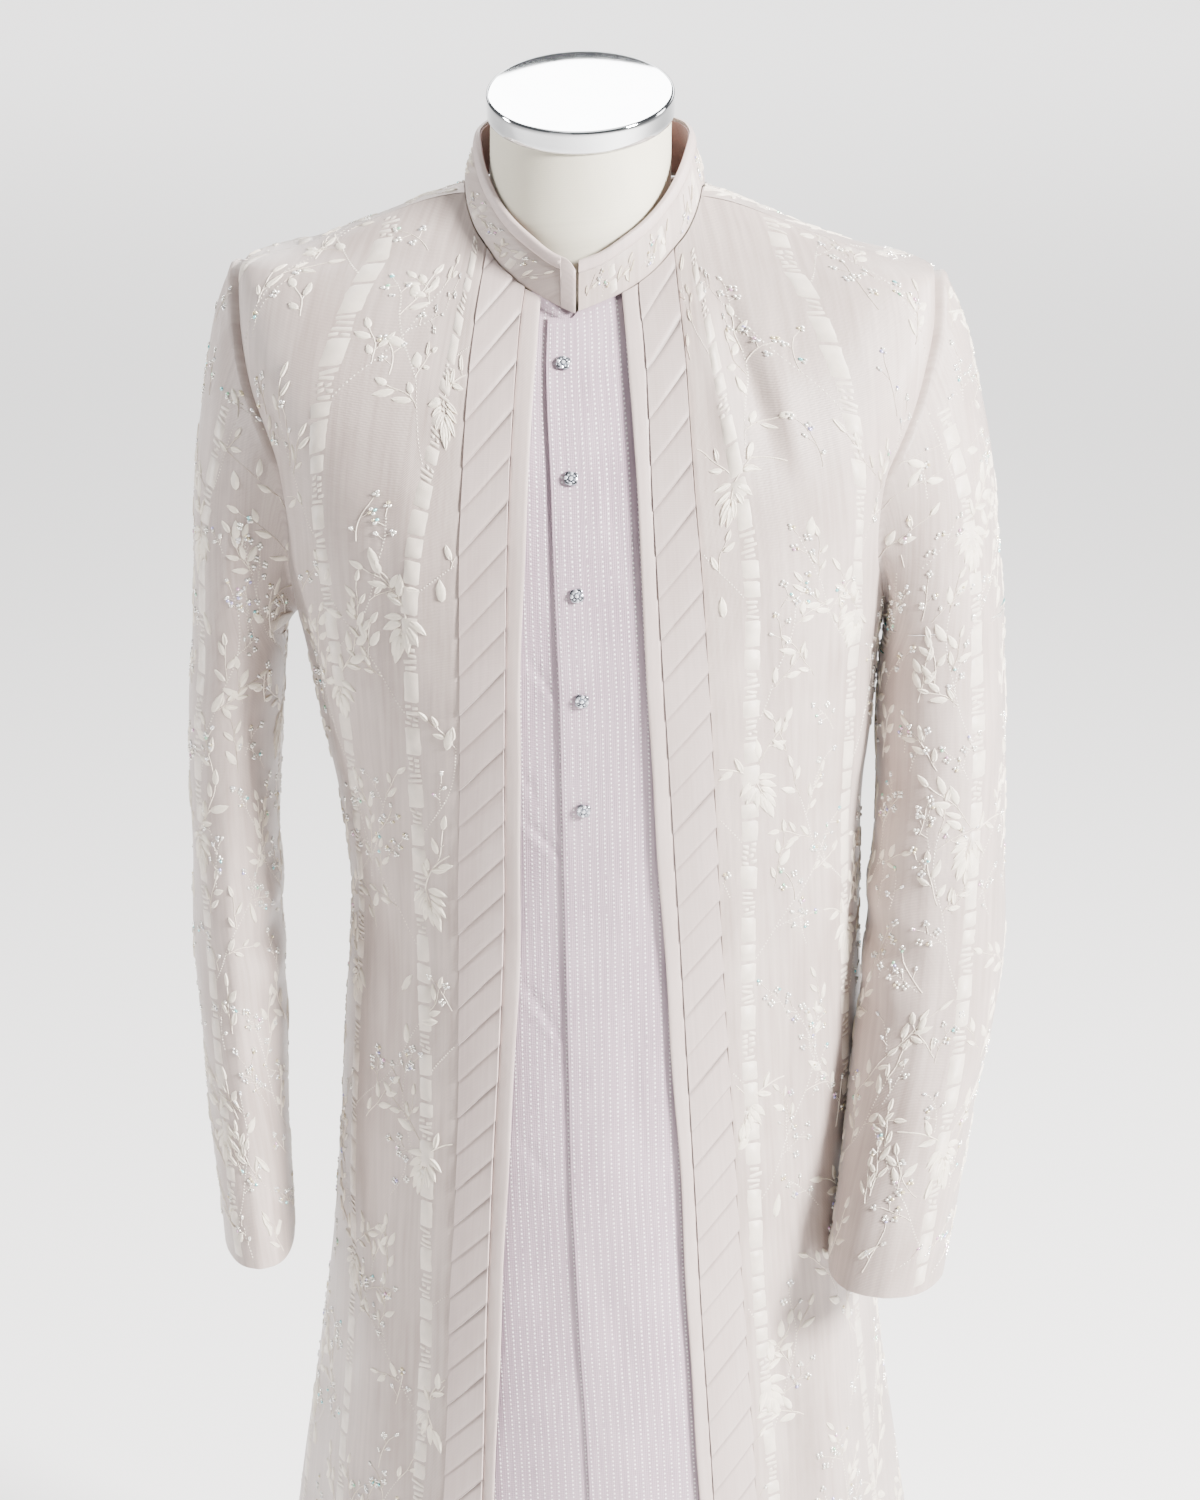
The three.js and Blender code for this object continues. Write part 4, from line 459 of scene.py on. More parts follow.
def edge_band(side):
    nm = "right" if side < 0 else "left"; inner, free = LINE["tuckInner" + nm.capitalize()], LINE["open" + nm.capitalize()]
    wob = lambda z: 0.55 * np.sin(z / 61.0 + side) + 0.35 * np.sin(z / 23.0)
    xa = (lambda z: inner(z) + SEAM) if side < 0 else (lambda z: free(z) + wob(z)); xb = (lambda z: free(z) + wob(z)) if side < 0 else (lambda z: inner(z) - SEAM)
    cols = 10; G = strip_base(xa, xb, cols, 240, HEM_Z); q = np.linspace(0, 1, cols + 1); qf = q if side < 0 else 1 - q   # 1 at the free edge
    lift = (0.9 * np.sin(np.pi * np.clip(qf, 0, 1) * 0.55) - 0.5 * (qf > 0.98) - 0.35 * (qf < 0.02))[None, :] + 0.18 * np.sin(G[..., 2] / 37.0) * qf[None, :]
    P, n = skin(G, extra=lift); C = Cloth(P); ob = wall("edge_band_" + nm + "_cloth", P, P - n * CLOTH, M_PLAIN, C.uv()); put(ob, "plain_satin", "edge_band_" + nm)
edge_band(-1); edge_band(1)
def inner_front(nm, xa, xb, drop, cols):
    G = strip_base(xa, xb, cols, 230, HEM_Z + 12, placket_rise if nm == "left" else inner_rise); x, z = G[..., 0], G[..., 2]
    extra = seg_wave(x, z, INNER_WRINKLES) * (1.0 if nm == "right" else 0.8) + 0.25 * np.sin(x * 0.13 + z * 0.01) * np.sin(z * 0.02 + 1)
    if nm == "left":
        q = np.linspace(0, 1, cols + 1)[None, :]; extra = extra - 0.35 * (q < 0.001) + 0.5 * np.exp(-(q / 0.05) ** 2) * (1 + np.sin(z / 33.0)) * 0.5
    else: extra = np.minimum(extra, 0.9)
    P, n = skin(G, lift=-drop, extra=extra); C = Cloth(P, ref=0.1); CLOTHS["inner_" + nm] = C
    ob = wall("inner_front_" + nm + "_cloth", P, P - n * INNER_CLOTH, M_INNER, C.uv()); put(ob, "inner_satin", "inner_front_" + nm)
inner_front("left", lambda z: LINE["placket"](z), lambda z: LINE["openLeft"](z) + 30, INNER_LEFT_DROP, 30)
inner_front("right", lambda z: LINE["openRight"](z) - 30, lambda z: LINE["placket"](z) + 22, INNER_RIGHT_DROP, 30)

# ------------------------------------------------------------------ sleeves
SLEEVES = {
    -1: np.array([[1090, -236.5, 2, 31, 74, 3], [1041, -241.6, 2, 30.5, 72, 4], [975, -243.6, 0, 31.5, 69, 5], [906, -244.6, -4, 31.5, 66, 6], [840, -243, -12, 30.5, 61, 7], [760, -240, -25, 28.5, 55, 8], [700, -235, -37, 26.5, 51, 9], [650, -230, -48, 25, 48, 9]], float),
    1: np.array([[1090, 243, 0, 41, 68, -4], [1041, 244.5, -2, 43, 64, -5], [975, 245.5, -7, 46, 61, -6], [906, 245, -18, 47.5, 58, -6], [840, 240.5, -38, 46.5, 54, -5], [770, 231, -64, 43.5, 50, -4], [715, 223, -86, 41.5, 46, -3], [672, 216.5, -102, 40, 43, -2]], float)}
def sleeve(side):
    nm = "right" if side < 0 else "left"; S = SLEEVES[side]; half = 34; K = 2 * half
    front, back = resample(arm_line(side, -1)[::-1], half), resample(arm_line(side, 1), half)
    loop = np.concatenate([front, back[1:half]]); loop[0, 1] = loop[half, 1] = 0
    hole = skin(loop)[0]; hole[:, 0] += side * 0.6
    t = np.arange(K) / K * 2 * np.pi; par = [pchip(S[::-1, 0], S[::-1, i]) for i in range(1, 6)]
    def ring(z):
        x, y, rx, ry, turn = [float(p(z)) for p in par]; a = math.radians(turn)
        ex = side * rx * np.sign(np.cos(t)) * np.abs(np.cos(t)) ** 0.92; ey = -ry * np.sign(np.sin(t)) * np.abs(np.sin(t)) ** 0.96
        pinch = 1 + 0.03 * np.cos(3 * t + z * 0.02) * smooth((1000 - z) / 200.0)
        return np.stack([x + (ex * math.cos(a) - ey * math.sin(a)) * pinch, y + ex * math.sin(a) + ey * math.cos(a), np.full(K, z)], -1)
    under = hole - unit(normal_at(loop)) * 1.1; under[:, 0] -= side * 1.6; rows = [under]; E = ring(1090.0); up = ((1 + np.cos(t)) / 2)[:, None]
    for w in np.concatenate([[0.012, 0.03, 0.05, 0.075, 0.1, 0.125, 0.155], np.linspace(0.19, 0.97, 34)]):
        TA = np.concatenate([side * (14 + 52 * up), 0 * up, -8 + 18 * up], 1); TE = np.concatenate([0 * up, 0 * up, -26 - 274 * up], 1)
        p = (1 + 2 * w) * (1 - w) ** 2 * hole + w * (1 - w) ** 2 * TA + w * w * (3 - 2 * w) * E + w * w * (w - 1) * TE
        roll = 2.2 * math.sin(math.pi * min(1, w / 0.13)) * up; rows.append(p + np.concatenate([side * roll * 0.6, 0 * roll, roll * 0.8], 1))
    zb = S[-1, 0]; zs = np.linspace(1086, zb, 96); rows += [ring(z) for z in zs]
    G = np.array(rows); C0 = Cloth(G, round_=True); n = C0.N[:, :K]
    z = G[..., 2]; T = t[None, :]; el = 885 if side < 0 else 900
    d = 2.6 * np.exp(-((z - el) / 60.0) ** 2) * np.sin((z - el) / 8.5 + 2.2 * np.cos(T)) * np.exp(-((T - (2.4 if side > 0 else 2.4)) / 0.8) ** 2)
    d += 1.8 * np.exp(-((z - 1000) / 120.0) ** 2) * np.cos(2 * T + z / 34.0) + 0.9 * np.exp(-((z - 1180) / 60.0) ** 2) * np.sin(z / 17.0 + 2 * T) * (np.cos(T) < 0.2)
    d += 0.9 * np.sin(z / 47.0 + 1.3 * side + 2 * T) * smooth((1050 - z) / 80) * np.abs(np.sin(T)) + 0.5 * np.sin(z / 19.0 + 3 * T)
    # pressed front edge and cuff hem
    d += 1.5 * np.exp(-((T - 1.57) / 0.10) ** 2) * smooth((1060 - z) / 120)
    d += -0.35 * np.exp(-((z - (zb + 27)) / 1.4) ** 2)
    d *= smooth((1330 - z) / 60)
    d[0] = 0; P = G + n * d[..., None]; C = Cloth(P, round_=True, ref=0.09); CLOTHS["sleeve_" + nm] = C
    nn = C.N[:, :K].copy(); nn[0] = nn[2]; nn[0, :, 0] = np.where(nn[0, :, 0] * side < 0, nn[0, :, 0], 0); nn[0] = unit(nn[0])
    ob = wall("sleeve_" + nm + "_cloth", P, P - nn * CLOTH, M_COAT, C.uv(), round_=True); put(ob, "coat_cloth", "sleeve_" + nm)
sleeve(-1); sleeve(1)

# ------------------------------------------------------------------ collar
K0, K1 = 0.12, 22.0; END_K = K1 - COLLAR_BAND / 15; BAND_V = 1 - COLLAR_BAND / COLLAR_H
def collar_point(k, v, out):
    last = len(NECK) - 1; side = np.where(k <= last, 1.0, -1.0); kk = np.clip(np.where(k <= last, k, 2 * last - k), 0, last)
    nx, ny = neck_x(kk), neck_y(kk); low = height_at(side * nx, ny) + 0.9
    over = np.where(side < 0, 2.6 * (1 - smooth(kk / 2.2)), -0.5 * (1 - smooth(kk / 2.2)))
    base = np.stack([side * nx, ny, low], -1); top = np.stack([side * ctx(kk), cty(kk), ctz(kk)], -1); p = base + (top - base) * v[..., None]
    r = unit(np.stack([p[..., 0], p[..., 1] * 1.05, np.zeros_like(p[..., 0])], -1))
    return p + r * (out + over)[..., None]
def collar_grid(ks, lo, hi, rows, out):
    ks = np.asarray(ks); f = np.linspace(0, 1, rows + 1)[:, None]; v = lo(ks)[None] * (1 - f) + hi(ks)[None] * f; k = np.broadcast_to(ks[None], v.shape)
    return collar_point(k, v, out(k, v) if callable(out) else np.full(v.shape, out))
ks = np.linspace(K0, END_K - 0.03, 150)
pad = lambda k, v: 0.55 * np.sin(np.pi * np.clip(v / BAND_V, 0, 1)) - 0.5 * (v < 0.004) - 0.45 * (v > BAND_V - 0.004)
O = collar_grid(ks, lambda k: 0 * k, lambda k: 0 * k + BAND_V, 10, pad); I = collar_grid(ks, lambda k: 0 * k, lambda k: 0 * k + BAND_V, 10, -CLOTH)
CLOTHS["collar"] = Cloth(O, ref=0.2); ob = wall("collar_cloth", O, I, M_COAT, CLOTHS["collar"].uv()); put(ob, "coat_cloth", "collar")
kb = np.concatenate([np.linspace(K0, END_K, 140), [END_K + 0.01], np.linspace(END_K + 0.08, K1, 9)])
b_lo = lambda k: np.where(k <= END_K, BAND_V + 0.35 / COLLAR_H, 0.0); corner = np.clip((k_ := kb) - (K1 - 0.5), 0, 1)
b_hi = lambda k: np.where(k > K1 - 0.5, 1 - 0.17 * (np.clip(k - (K1 - 0.5), 0, 1) / 0.5) ** 2.2, 1.0)
f = np.linspace(0, 1, 9)[:, None]; v = b_lo(kb)[None] * (1 - f) + b_hi(kb)[None] * f; k = np.broadcast_to(kb[None], v.shape)
prof = 0.9 + 0.45 * np.sin(np.pi * f) - 0.7 * (f < 0.01) - 0.7 * (f > 0.99) - 0.4 * (k > K1 - 0.01)
O = collar_point(k, v, prof + 0 * k); I = collar_point(k, v, np.full(v.shape, -CLOTH)); C = Cloth(O, ref=0.3)
ob = wall("collar_edge_cloth", O, I, M_PLAIN, C.uv()); put(ob, "plain_satin", "collar_edge")
ks = np.linspace(K0, END_K - 0.03, 120); lhi = lambda k: np.where(k < 0.5, 0.86 + 0.09 * smooth((k - K0) / 0.38), 0.95)
O = collar_grid(ks, lambda k: 0 * k + 0.06, lhi, 5, -CLOTH - 0.4); I = collar_grid(ks, lambda k: 0 * k + 0.06, lhi, 5, -CLOTH - 1.4); C = Cloth(O, ref=0.3)
ob = wall("collar_lining_cloth", O, I, M_LINING, C.uv()); put(ob, "collar_lining", "collar_lining")

# ------------------------------------------------------------------ raised work
class Trim:
    """Collects stitched shapes in a cloth's own (s, h) lengths, then lays them on it in one go."""
    def __init__(self, cloth, lo, hi, margin=1.5, seed=1):
        self.C, self.lo, self.hi, self.mg = cloth, lo, hi, margin; self.r = np.random.default_rng(seed)
        self.b = {k: ([], [], [], [0]) for k in ("leaf", "stalk", "stem", "bead", "sequin")}
    def ok(self, s, h):
        if np.any(h < self.lo) or np.any(h > self.hi): return False
        if self.C.round: return not np.any(h > self.C.top_at(s, h) - 5)
        w = self.C.width(h); return not (np.any(s < self.mg) or np.any(s > w - self.mg))
    def add(self, kind, pts, faces, tint=None):
        P, F, T, n = self.b[kind]; pts = np.asarray(pts, float)
        if self.C.round and kind != "stem" and pts[0, 1] > 330: pts = self.true(pts)
        if not self.ok(pts[:, 0], pts[:, 1]): return False
        P.append(pts); F.extend([tuple(n[0] + i for i in f) for f in faces]); n[0] += len(pts)
        T.append(np.tile(tint if tint is not None else (1, 1, 1, 1), (len(pts), 1))); return True
    def true(self, pts):
        """Takes the grid's local stretch out of a small shape, about its first point."""
        o = pts[0, :2]; a = self.C.at(np.array([o[0] - 2, o[0] + 2, o[0], o[0]]), np.array([o[1], o[1], o[1] - 2, o[1] + 2])); J = np.stack([a[1] - a[0], a[3] - a[2]], -1) / 4
        w, E = np.linalg.eigh(J.T @ J); M = E @ np.diag(1 / np.sqrt(np.clip(w, 0.1, 9))) @ E.T; out = pts.copy(); out[:, :2] = o + (pts[:, :2] - o) @ M; return out
    def leaf(self, s, h, ang, L, W, bend=0.0, lift=1.25):
        d = np.array([math.cos(ang), math.sin(ang)]); e = np.array([-d[1], d[0]]); o = np.array([s, h]); pts = []
        mid = lambda t: o + d * L * t + e * bend * L * (t * t)
        pts.append([*mid(0.0), -0.1])
        for t in (0.14, 0.34, 0.6, 0.83):
            w = W / 2 * math.sin(math.pi * t ** 0.8) ** 0.85 * (1 + self.r.normal(0, 0.03)); c = mid(t); k = 1.0 - 0.25 * t
            for q, l in ((-1, -0.12), (-0.55, lift * k), (0, lift * 0.5 * k), (0.55, lift * k), (1, -0.12)): pts.append([*(c + e * w * q), l])
        pts.append([*mid(1.0), -0.08]); F = []
        for j in range(4): F.append((0, 2 + j, 1 + j)); F.append((21, 16 + j, 17 + j))
        for i in range(3):
            for j in range(4): a = 1 + 5 * i + j; F.append((a, a + 1, a + 6, a + 5))
        F.append((0, 1, 6, 11, 16, 21, 20, 15, 10, 5)); return self.add("leaf", pts, F)
    def patch(self, kind, s, h, ang, L, W, na, lift=0.9, skew=0.0, across=(-1, -0.6, 0, 0.6, 1)):
        d = np.array([math.cos(ang), math.sin(ang)]); e = np.array([-d[1], d[0]]); o = np.array([s, h]); pts = []; m = len(across); ts = [0.0, min(0.12, 0.9 / L * 1.6)] + list(np.linspace(0, 1, na + 1)[1:-1]) + [1 - min(0.12, 0.9 / L * 1.6), 1.0]
        prof = np.interp(np.abs(across), [0, 0.6, 1], [1.0, 0.86, 0]); jl = self.r.normal(0, 0.25, (len(ts), 2))
        for i, t in enumerate(ts):
            end = 0.0 if i in (0, len(ts) - 1) else 1.0
            for j, q in enumerate(across):
                off = q * W / 2 + (jl[i, 0 if q < 0 else 1] if abs(q) == 1 and W > 6 else 0); sh = skew * q * W / 2
                pts.append([*(o + d * (L * t + sh) + e * off), -0.12 + (lift + 0.12) * end * prof[j]])
        F = []
        for i in range(len(ts) - 1):
            for j in range(m - 1): a = i * m + j; F.append((a, a + 1, a + m + 1, a + m))
        ring = [i * m for i in range(len(ts))] + [(len(ts) - 1) * m + j for j in range(1, m)] + [i * m + m - 1 for i in range(len(ts) - 2, -1, -1)] + [j for j in range(m - 2, 0, -1)]
        F.append(tuple(ring)); return self.add(kind, pts, F)
    def stem(self, path, w=0.9, lift=0.45):
        path = np.asarray(path, float)
        if len(path) < 2: return
        d = unit(np.gradient(path, axis=0)); e = np.stack([-d[:, 1], d[:, 0]], -1); good = np.array([self.ok(p[:1], p[1:]) for p in path]); run = []
        for i in range(len(path) + 1):
            if i < len(path) and good[i]: run.append(i); continue
            if len(run) > 1:
                pts = []; F = []
                for k in run: pts += [[*(path[k] - e[k] * w / 2), -0.12], [*path[k], lift], [*(path[k] + e[k] * w / 2), -0.12]]
                for k in range(len(run) - 1):
                    for j in range(3): a, b = 3 * k + j, 3 * k + (j + 1) % 3; F.append((a, b, b + 3, a + 3))
                F.append((2, 1, 0)); n = 3 * len(run); F.append((n - 3, n - 2, n - 1)); self.add("stem", pts, F)
            run = []
    def dot(self, s, h, r, lift=None, kind="bead", sides=5, tint=None):
        a = np.arange(sides) / sides * 2 * np.pi + self.r.uniform(0, 1); lift = 0.95 * r if lift is None else lift
        pts = [[s + r * math.cos(q), h + r * math.sin(q), -0.1] for q in a] + [[s, h, lift]]
        F = [(i, (i + 1) % sides, sides) for i in range(sides)] + [tuple(reversed(range(sides)))]; return self.add(kind, pts, F, tint)
    def berry(self, s, h, r):
        """A round sequin or bead: a low drum with a raised middle."""
        n = 7; a = np.arange(n) / n * 2 * np.pi + self.r.uniform(0, 1); u = self.r.uniform(); k = self.r.uniform(0.92, 1.04)
        tint = np.array((0.80, 0.77, 0.70) if u < 0.62 else (0.72, 0.70, 0.69) if u < 0.84 else (0.66, 0.57, 0.38) if u < 0.925 else (0.28, 0.66, 0.66) if u < 0.95 else (0.35, 0.66, 0.45) if u < 0.965 else (0.72, 0.44, 0.60) if u < 0.983 else (0.50, 0.46, 0.76)) * k
        pts = [[s + r * math.cos(q), h + r * math.sin(q), -0.1] for q in a] + [[s + 0.86 * r * math.cos(q), h + 0.80 * r * math.sin(q), 0.85] for q in a] + [[s, h, 1.2]]
        F = [(i, (i + 1) % n, n + (i + 1) % n, n + i) for i in range(n)] + [(n + i, n + (i + 1) % n, 2 * n) for i in range(n)] + [tuple(reversed(range(n)))]
        return self.add("sequin", pts, F, (*tint, 1))
    # ---- growing things
    def curve_path(self, s, h, ang, L, curl, step=4.0, wave=0.0):
        n = max(3, int(L / step)); t = np.linspace(0, 1, n + 1); a = ang + curl * t + wave * np.sin(t * 2.4 * np.pi)
        dd = np.stack([np.cos(a), np.sin(a)], -1) * L / n; return np.array([s, h]) + np.concatenate([[[0, 0]], np.cumsum(dd[:-1], 0)]), a
    def fan(self, s, h, ang, k=1.0, n=9):
        """Leaves that open like a fan from a short stem which hangs from a longer thread."""
        r = self.r; d = np.array([math.cos(ang), math.sin(ang)]); sw = 1 if r.uniform() < 0.5 else -1
        path, a = self.curve_path(s, h, ang + math.pi + 0.5 * sw, 34 * k, 0.9 * sw, step=3); self.stem(path, 1.2 * k, 0.6); self.stem([[s, h], [s + d[0] * 6 * k, h + d[1] * 6 * k], [s + d[0] * 12 * k, h + d[1] * 12 * k]], 1.2 * k, 0.6)
        for i in range(n):
            u = -1 + 2 * i / (n - 1); f = (1 - abs(u)) * 13 * k; aa = ang + u * 1.25 + r.normal(0, 0.05); ll = (16.5 - 2.5 * abs(u)) * k * r.uniform(0.88, 1.1)
            self.leaf(s + d[0] * f + math.cos(aa) * 2 * k, h + d[1] * f + math.sin(aa) * 2 * k, aa, ll, ll * r.uniform(0.34, 0.42), bend=-0.16 * np.sign(u))
        for sg in (-1, 1):
            j = min(len(path) - 1, 4 + sg); aa = a[j] + sg * 0.9; self.leaf(path[j][0], path[j][1], aa, 12 * k, 4.8 * k, bend=-sg * 0.12)
    def spray(self, s, h, ang, k=1.0):
        r = self.r; n = int(r.integers(4, 6)); L = 42 * k; path, a = self.curve_path(s, h, ang, L, r.uniform(-0.5, 0.5)); self.stem(path, 1.1 * k)
        m = len(path)
        for i in range(n):
            f = 0.1 + 0.8 * i / n; j = min(m - 1, int(f * (m - 1))); p = path[j]; ll = (24 - 9 * f) * k
            for sg in (-1, 1):
                self.leaf(p[0], p[1], a[j] + sg * (0.95 - 0.35 * f + r.normal(0, 0.08)), ll * r.uniform(0.85, 1.1), ll * r.uniform(0.32, 0.4), bend=-sg * 0.14)
        self.leaf(path[-1][0], path[-1][1], a[-1], 17 * k, 6 * k)
    def sprig(self, s, h, ang, L, k=1.0):
        r = self.r; path, a = self.curve_path(s, h, ang, L, r.uniform(-0.6, 0.6), wave=0.15); self.stem(path, 0.9 * k); m = len(path); n = max(2, int(L / (9.5 * k))); sg = 1 if r.uniform() < 0.5 else -1
        for i in range(n):
            f = 0.2 + 0.75 * (i + r.uniform(-0.2, 0.2)) / n; j = int(np.clip(f * (m - 1), 0, m - 1)); ll = r.uniform(9.5, 15) * k; sg = -sg; aa = a[j] + sg * r.uniform(0.55, 0.9)
            d = np.array([math.cos(aa), math.sin(aa)]); b = path[j] + d * 2.2 * k; self.stem([path[j], b], 0.8 * k); self.leaf(b[0], b[1], aa, ll, ll * r.uniform(0.38, 0.47), bend=-sg * 0.12, lift=1.05)
        self.leaf(path[-1][0], path[-1][1], a[-1], 11 * k, 4.8 * k, lift=1.05)
    def dots_on(self, path, pitch=2.3, r=0.7):
        q = np.concatenate([[0], np.cumsum(np.linalg.norm(np.diff(path, axis=0), axis=1))]); m = np.arange(0, q[-1], pitch)
        for s, h in zip(np.interp(m, q, path[:, 0]), np.interp(m, q, path[:, 1])): self.dot(s, h, r * self.r.uniform(0.85, 1.15))
    def berries(self, s, h, ang, L, k=1.0, dotted=True):
        r = self.r; path, a = self.curve_path(s, h, ang, L, r.uniform(-0.8, 0.8), step=3)
        (self.dots_on(path, 2.3 * k ** 0.5, 0.68 * k ** 0.5) if dotted else self.stem(path, 0.8 * k)); m = len(path); n = int(r.integers(3, 6)); sg = 1
        for i in range(n):
            f = 0.35 + 0.65 * i / (n - 1); j = int(np.clip(f * (m - 1), 0, m - 1)); sg = -sg; aa = a[j] + sg * r.uniform(0.6, 1.1) * (0.3 if i == n - 1 else 1); tl = r.uniform(4.5, 10) * k
            e = path[j] + np.array([math.cos(aa), math.sin(aa)]) * tl; self.stem([path[j], (path[j] + e) / 2, e], 0.6 * k, 0.35)
            nb = int(r.integers(2, 5)); rr = 1.28 * k ** 0.5
            for q in range(nb):
                g = e + (0 if nb < 3 and q == 0 else 1) * np.array([math.cos(aa + q * 2 * math.pi / nb), math.sin(aa + q * 2 * math.pi / nb)]) * rr * (1.1 if nb < 4 else 1.45); self.berry(g[0], g[1], rr * r.uniform(0.85, 1.12))
    def branch(self, s, h, ang, L, curl, k=1.0):
        """A dotted, bending stem with small things growing from it."""
        r = self.r; path, a = self.curve_path(s, h, ang, L, curl, step=4, wave=0.12); self.dots_on(path, 2.4, 0.7); m = len(path); sg = 1
        for f in np.arange(0.3, 0.98, 24.0 / L):
            j = int(f * (m - 1)); sg = -sg; aa = a[j] + sg * r.uniform(0.5, 0.8); p = path[j]; u = r.uniform()
            if u < 0.45: self.sprig(p[0], p[1], aa, r.uniform(20, 34) * k, 0.85 * k)
            elif u < 0.85: self.berries(p[0], p[1], aa, r.uniform(18, 30) * k, 0.9 * k, dotted=r.uniform() < 0.5)
            else: self.leaf(p[0], p[1], aa, 15 * k, 6.5 * k, bend=-sg * 0.1)
        self.sprig(path[-1][0], path[-1][1], a[-1], 24 * k, 0.9 * k) if r.uniform() < 0.5 else self.berries(path[-1][0], path[-1][1], a[-1], 22 * k, k)
    def stalk(self, fs, lo, hi, w=12.5, k=1.0):
        """Jointed upright stalk: plain satin blocks between clusters of short slanted bars."""
        r = self.r; h = lo
        while h < hi:
            L = r.uniform(9, 22) * k; s = float(fs(h + L / 2)); tilt = math.atan2(L, float(fs(h + L) - fs(h))); ww = w * r.uniform(0.86, 1.04)
            self.patch("stalk", float(fs(h)), h, tilt, L, ww, max(2, int(L / 6)), lift=0.85, skew=r.uniform(-0.12, 0.12)); h += L + 1.1
            for _ in range(int(r.integers(3, 6)) if r.uniform() < 0.5 else 0):
                b = r.uniform(2.0, 3.1); off = r.normal(0, 0.7); wd = ww * r.uniform(0.62, 0.98)
                if r.uniform() < 0.3:
                    for sg in (-1, 1): self.patch("stalk", float(fs(h)) + sg * wd * 0.26 + off, h + sg * 0.5, tilt, b, wd * 0.44, 1, lift=0.6, skew=r.uniform(-0.3, 0.3), across=(-1, -0.5, 0.5, 1))
                else: self.patch("stalk", float(fs(h)) + off, h, tilt, b, wd, 1, lift=0.6, skew=r.uniform(-0.22, 0.22))
                h += b + r.uniform(0.9, 1.8)
            h += 0.6
    def build(self, tag, node):
        for kind, mat in (("leaf", M_THREAD), ("stalk", M_STALK), ("stem", M_STEM), ("bead", M_BEAD), ("sequin", M_SEQUIN)):
            P, F, T, n = self.b[kind]
            if not P: continue
            A = np.concatenate(P); V = self.C.at(A[:, 0], A[:, 1], A[:, 2]); ob = make(f"{tag}_{kind}", V, F, mat, uv=A[:, :2], smooth_angle=70, col=np.concatenate(T))
            turn_out(ob, self.C, A); put(ob, "coat_cloth"); print("TRIM", ob.name, len(P), len(F))
def turn_out(ob, C, A):
    """Flips the lot if the cloth's across-up frame is left handed, so that faces look outwards."""
    p, n, u, v = C.at(A[:1, 0], A[:1, 1], 0.0, True); q = C.at(A[:1, 0], A[:1, 1] + 2.0, 0.0)
    if float(np.cross(u[0], q[0] - p[0]) @ n[0]) < 0: ob.data.flip_normals()
def grow(T, lo, hi, stalks, edge0=8, sprays=None, cell=(40, 50), k=1.0, rounds=False):
    """Stalks first, sprays on them by turns, dotted branches between, small sprigs where there is room."""
    r = T.r; taken = []
    for j, fs in enumerate(stalks):
        T.stalk(fs, lo, hi)
        hs = sprays[j] if sprays and j < len(sprays) else list(np.arange(lo + 90 + 71 * (j % 3), hi, 215))
        for i, h in enumerate(hs):
            sg = 1 if (i + j) % 2 else -1; s = float(fs(h))
            T.fan(s + sg * r.uniform(-1, 5), h + 8, -math.pi / 2 + sg * r.uniform(-0.05, 0.45), r.uniform(0.98, 1.14), int(r.integers(8, 11)))
            T.sprig(s + sg * 5, h + 16, math.pi / 2 - sg * r.uniform(0.5, 0.8), r.uniform(34, 44), 1.1)
            taken.append((s + sg * 4, h + 2, 34))
        for i, h in enumerate(np.arange(lo + 30 + 40 * (j % 2), hi, 88)):
            sg = -1 if (i + j) % 2 else 1; s = float(fs(h)); T.branch(s + sg * 6, h, math.pi / 2 - sg * r.uniform(0.45, 0.8), r.uniform(72, 118), sg * r.uniform(0.1, 0.7))
    wmax = float(T.C.W.max()); hh = lo + 10; row = 0
    while hh < hi:
        s = 6 + (row % 2) * cell[0] / 2
        while s < wmax:
            ss, h2 = s + r.normal(0, 5), hh + r.normal(0, 6); near = min([abs(ss - float(f(h2))) for f in stalks] + [99]); u = r.uniform()
            if near > 13 and not any((ss - a) ** 2 + (h2 - b) ** 2 < (c * 0.8) ** 2 for a, b, c in taken):
                ang = math.pi / 2 + r.normal(0, 0.45)
                if u < 0.33: T.sprig(ss, h2, ang, r.uniform(24, 42), 0.95)
                elif u < 0.84: T.berries(ss, h2, ang, r.uniform(20, 36), 0.95, dotted=r.uniform() < 0.6)
                elif u < 0.92: T.leaf(ss, h2, ang, r.uniform(13, 19), r.uniform(5.5, 7.5))
            s += cell[0]
        hh += cell[1]; row += 1
C = CLOTHS["front_left"]; T = Trim(C, 5, float(C.H[-1]) - 2, seed=11)
grow(T, 6, float(C.H[-1]), [lambda h: 14 + 19 * smooth((h - 480) / 380.0) + 1.5 * np.sin(h / 70.0), lambda h: 112 + 5 * np.sin(h / 130.0 + 1) - 8 * smooth((h - 700) / 300), lambda h: 196 + 4 * np.sin(h / 90.0)], sprays=[[20, 240, 452, 690, 900], [110, 345, 560, 800], [60, 300, 520]])
T.build("embroidery_front_left", "front_left")
C = CLOTHS["front_right"]; T = Trim(C, 5, float(C.H[-1]) - 2, seed=23)
grow(T, 6, float(C.H[-1]), [lambda h: 22 + 12 * np.exp(-((h - 720) / 200.0) ** 2) + 1.5 * np.sin(h / 60.0), lambda h: 100 + 6 * np.sin(h / 150.0), lambda h: 182 + 4 * np.sin(h / 80.0 + 1)], sprays=[[210, 405, 600, 800, 960], [90, 300, 520, 745], [160, 420, 640]])
T.build("embroidery_front_right", "front_right")
C = CLOTHS["back"]; T = Trim(C, 5, float(C.H[-1]) - 2, seed=37); wb = lambda h: float(C.width(h))
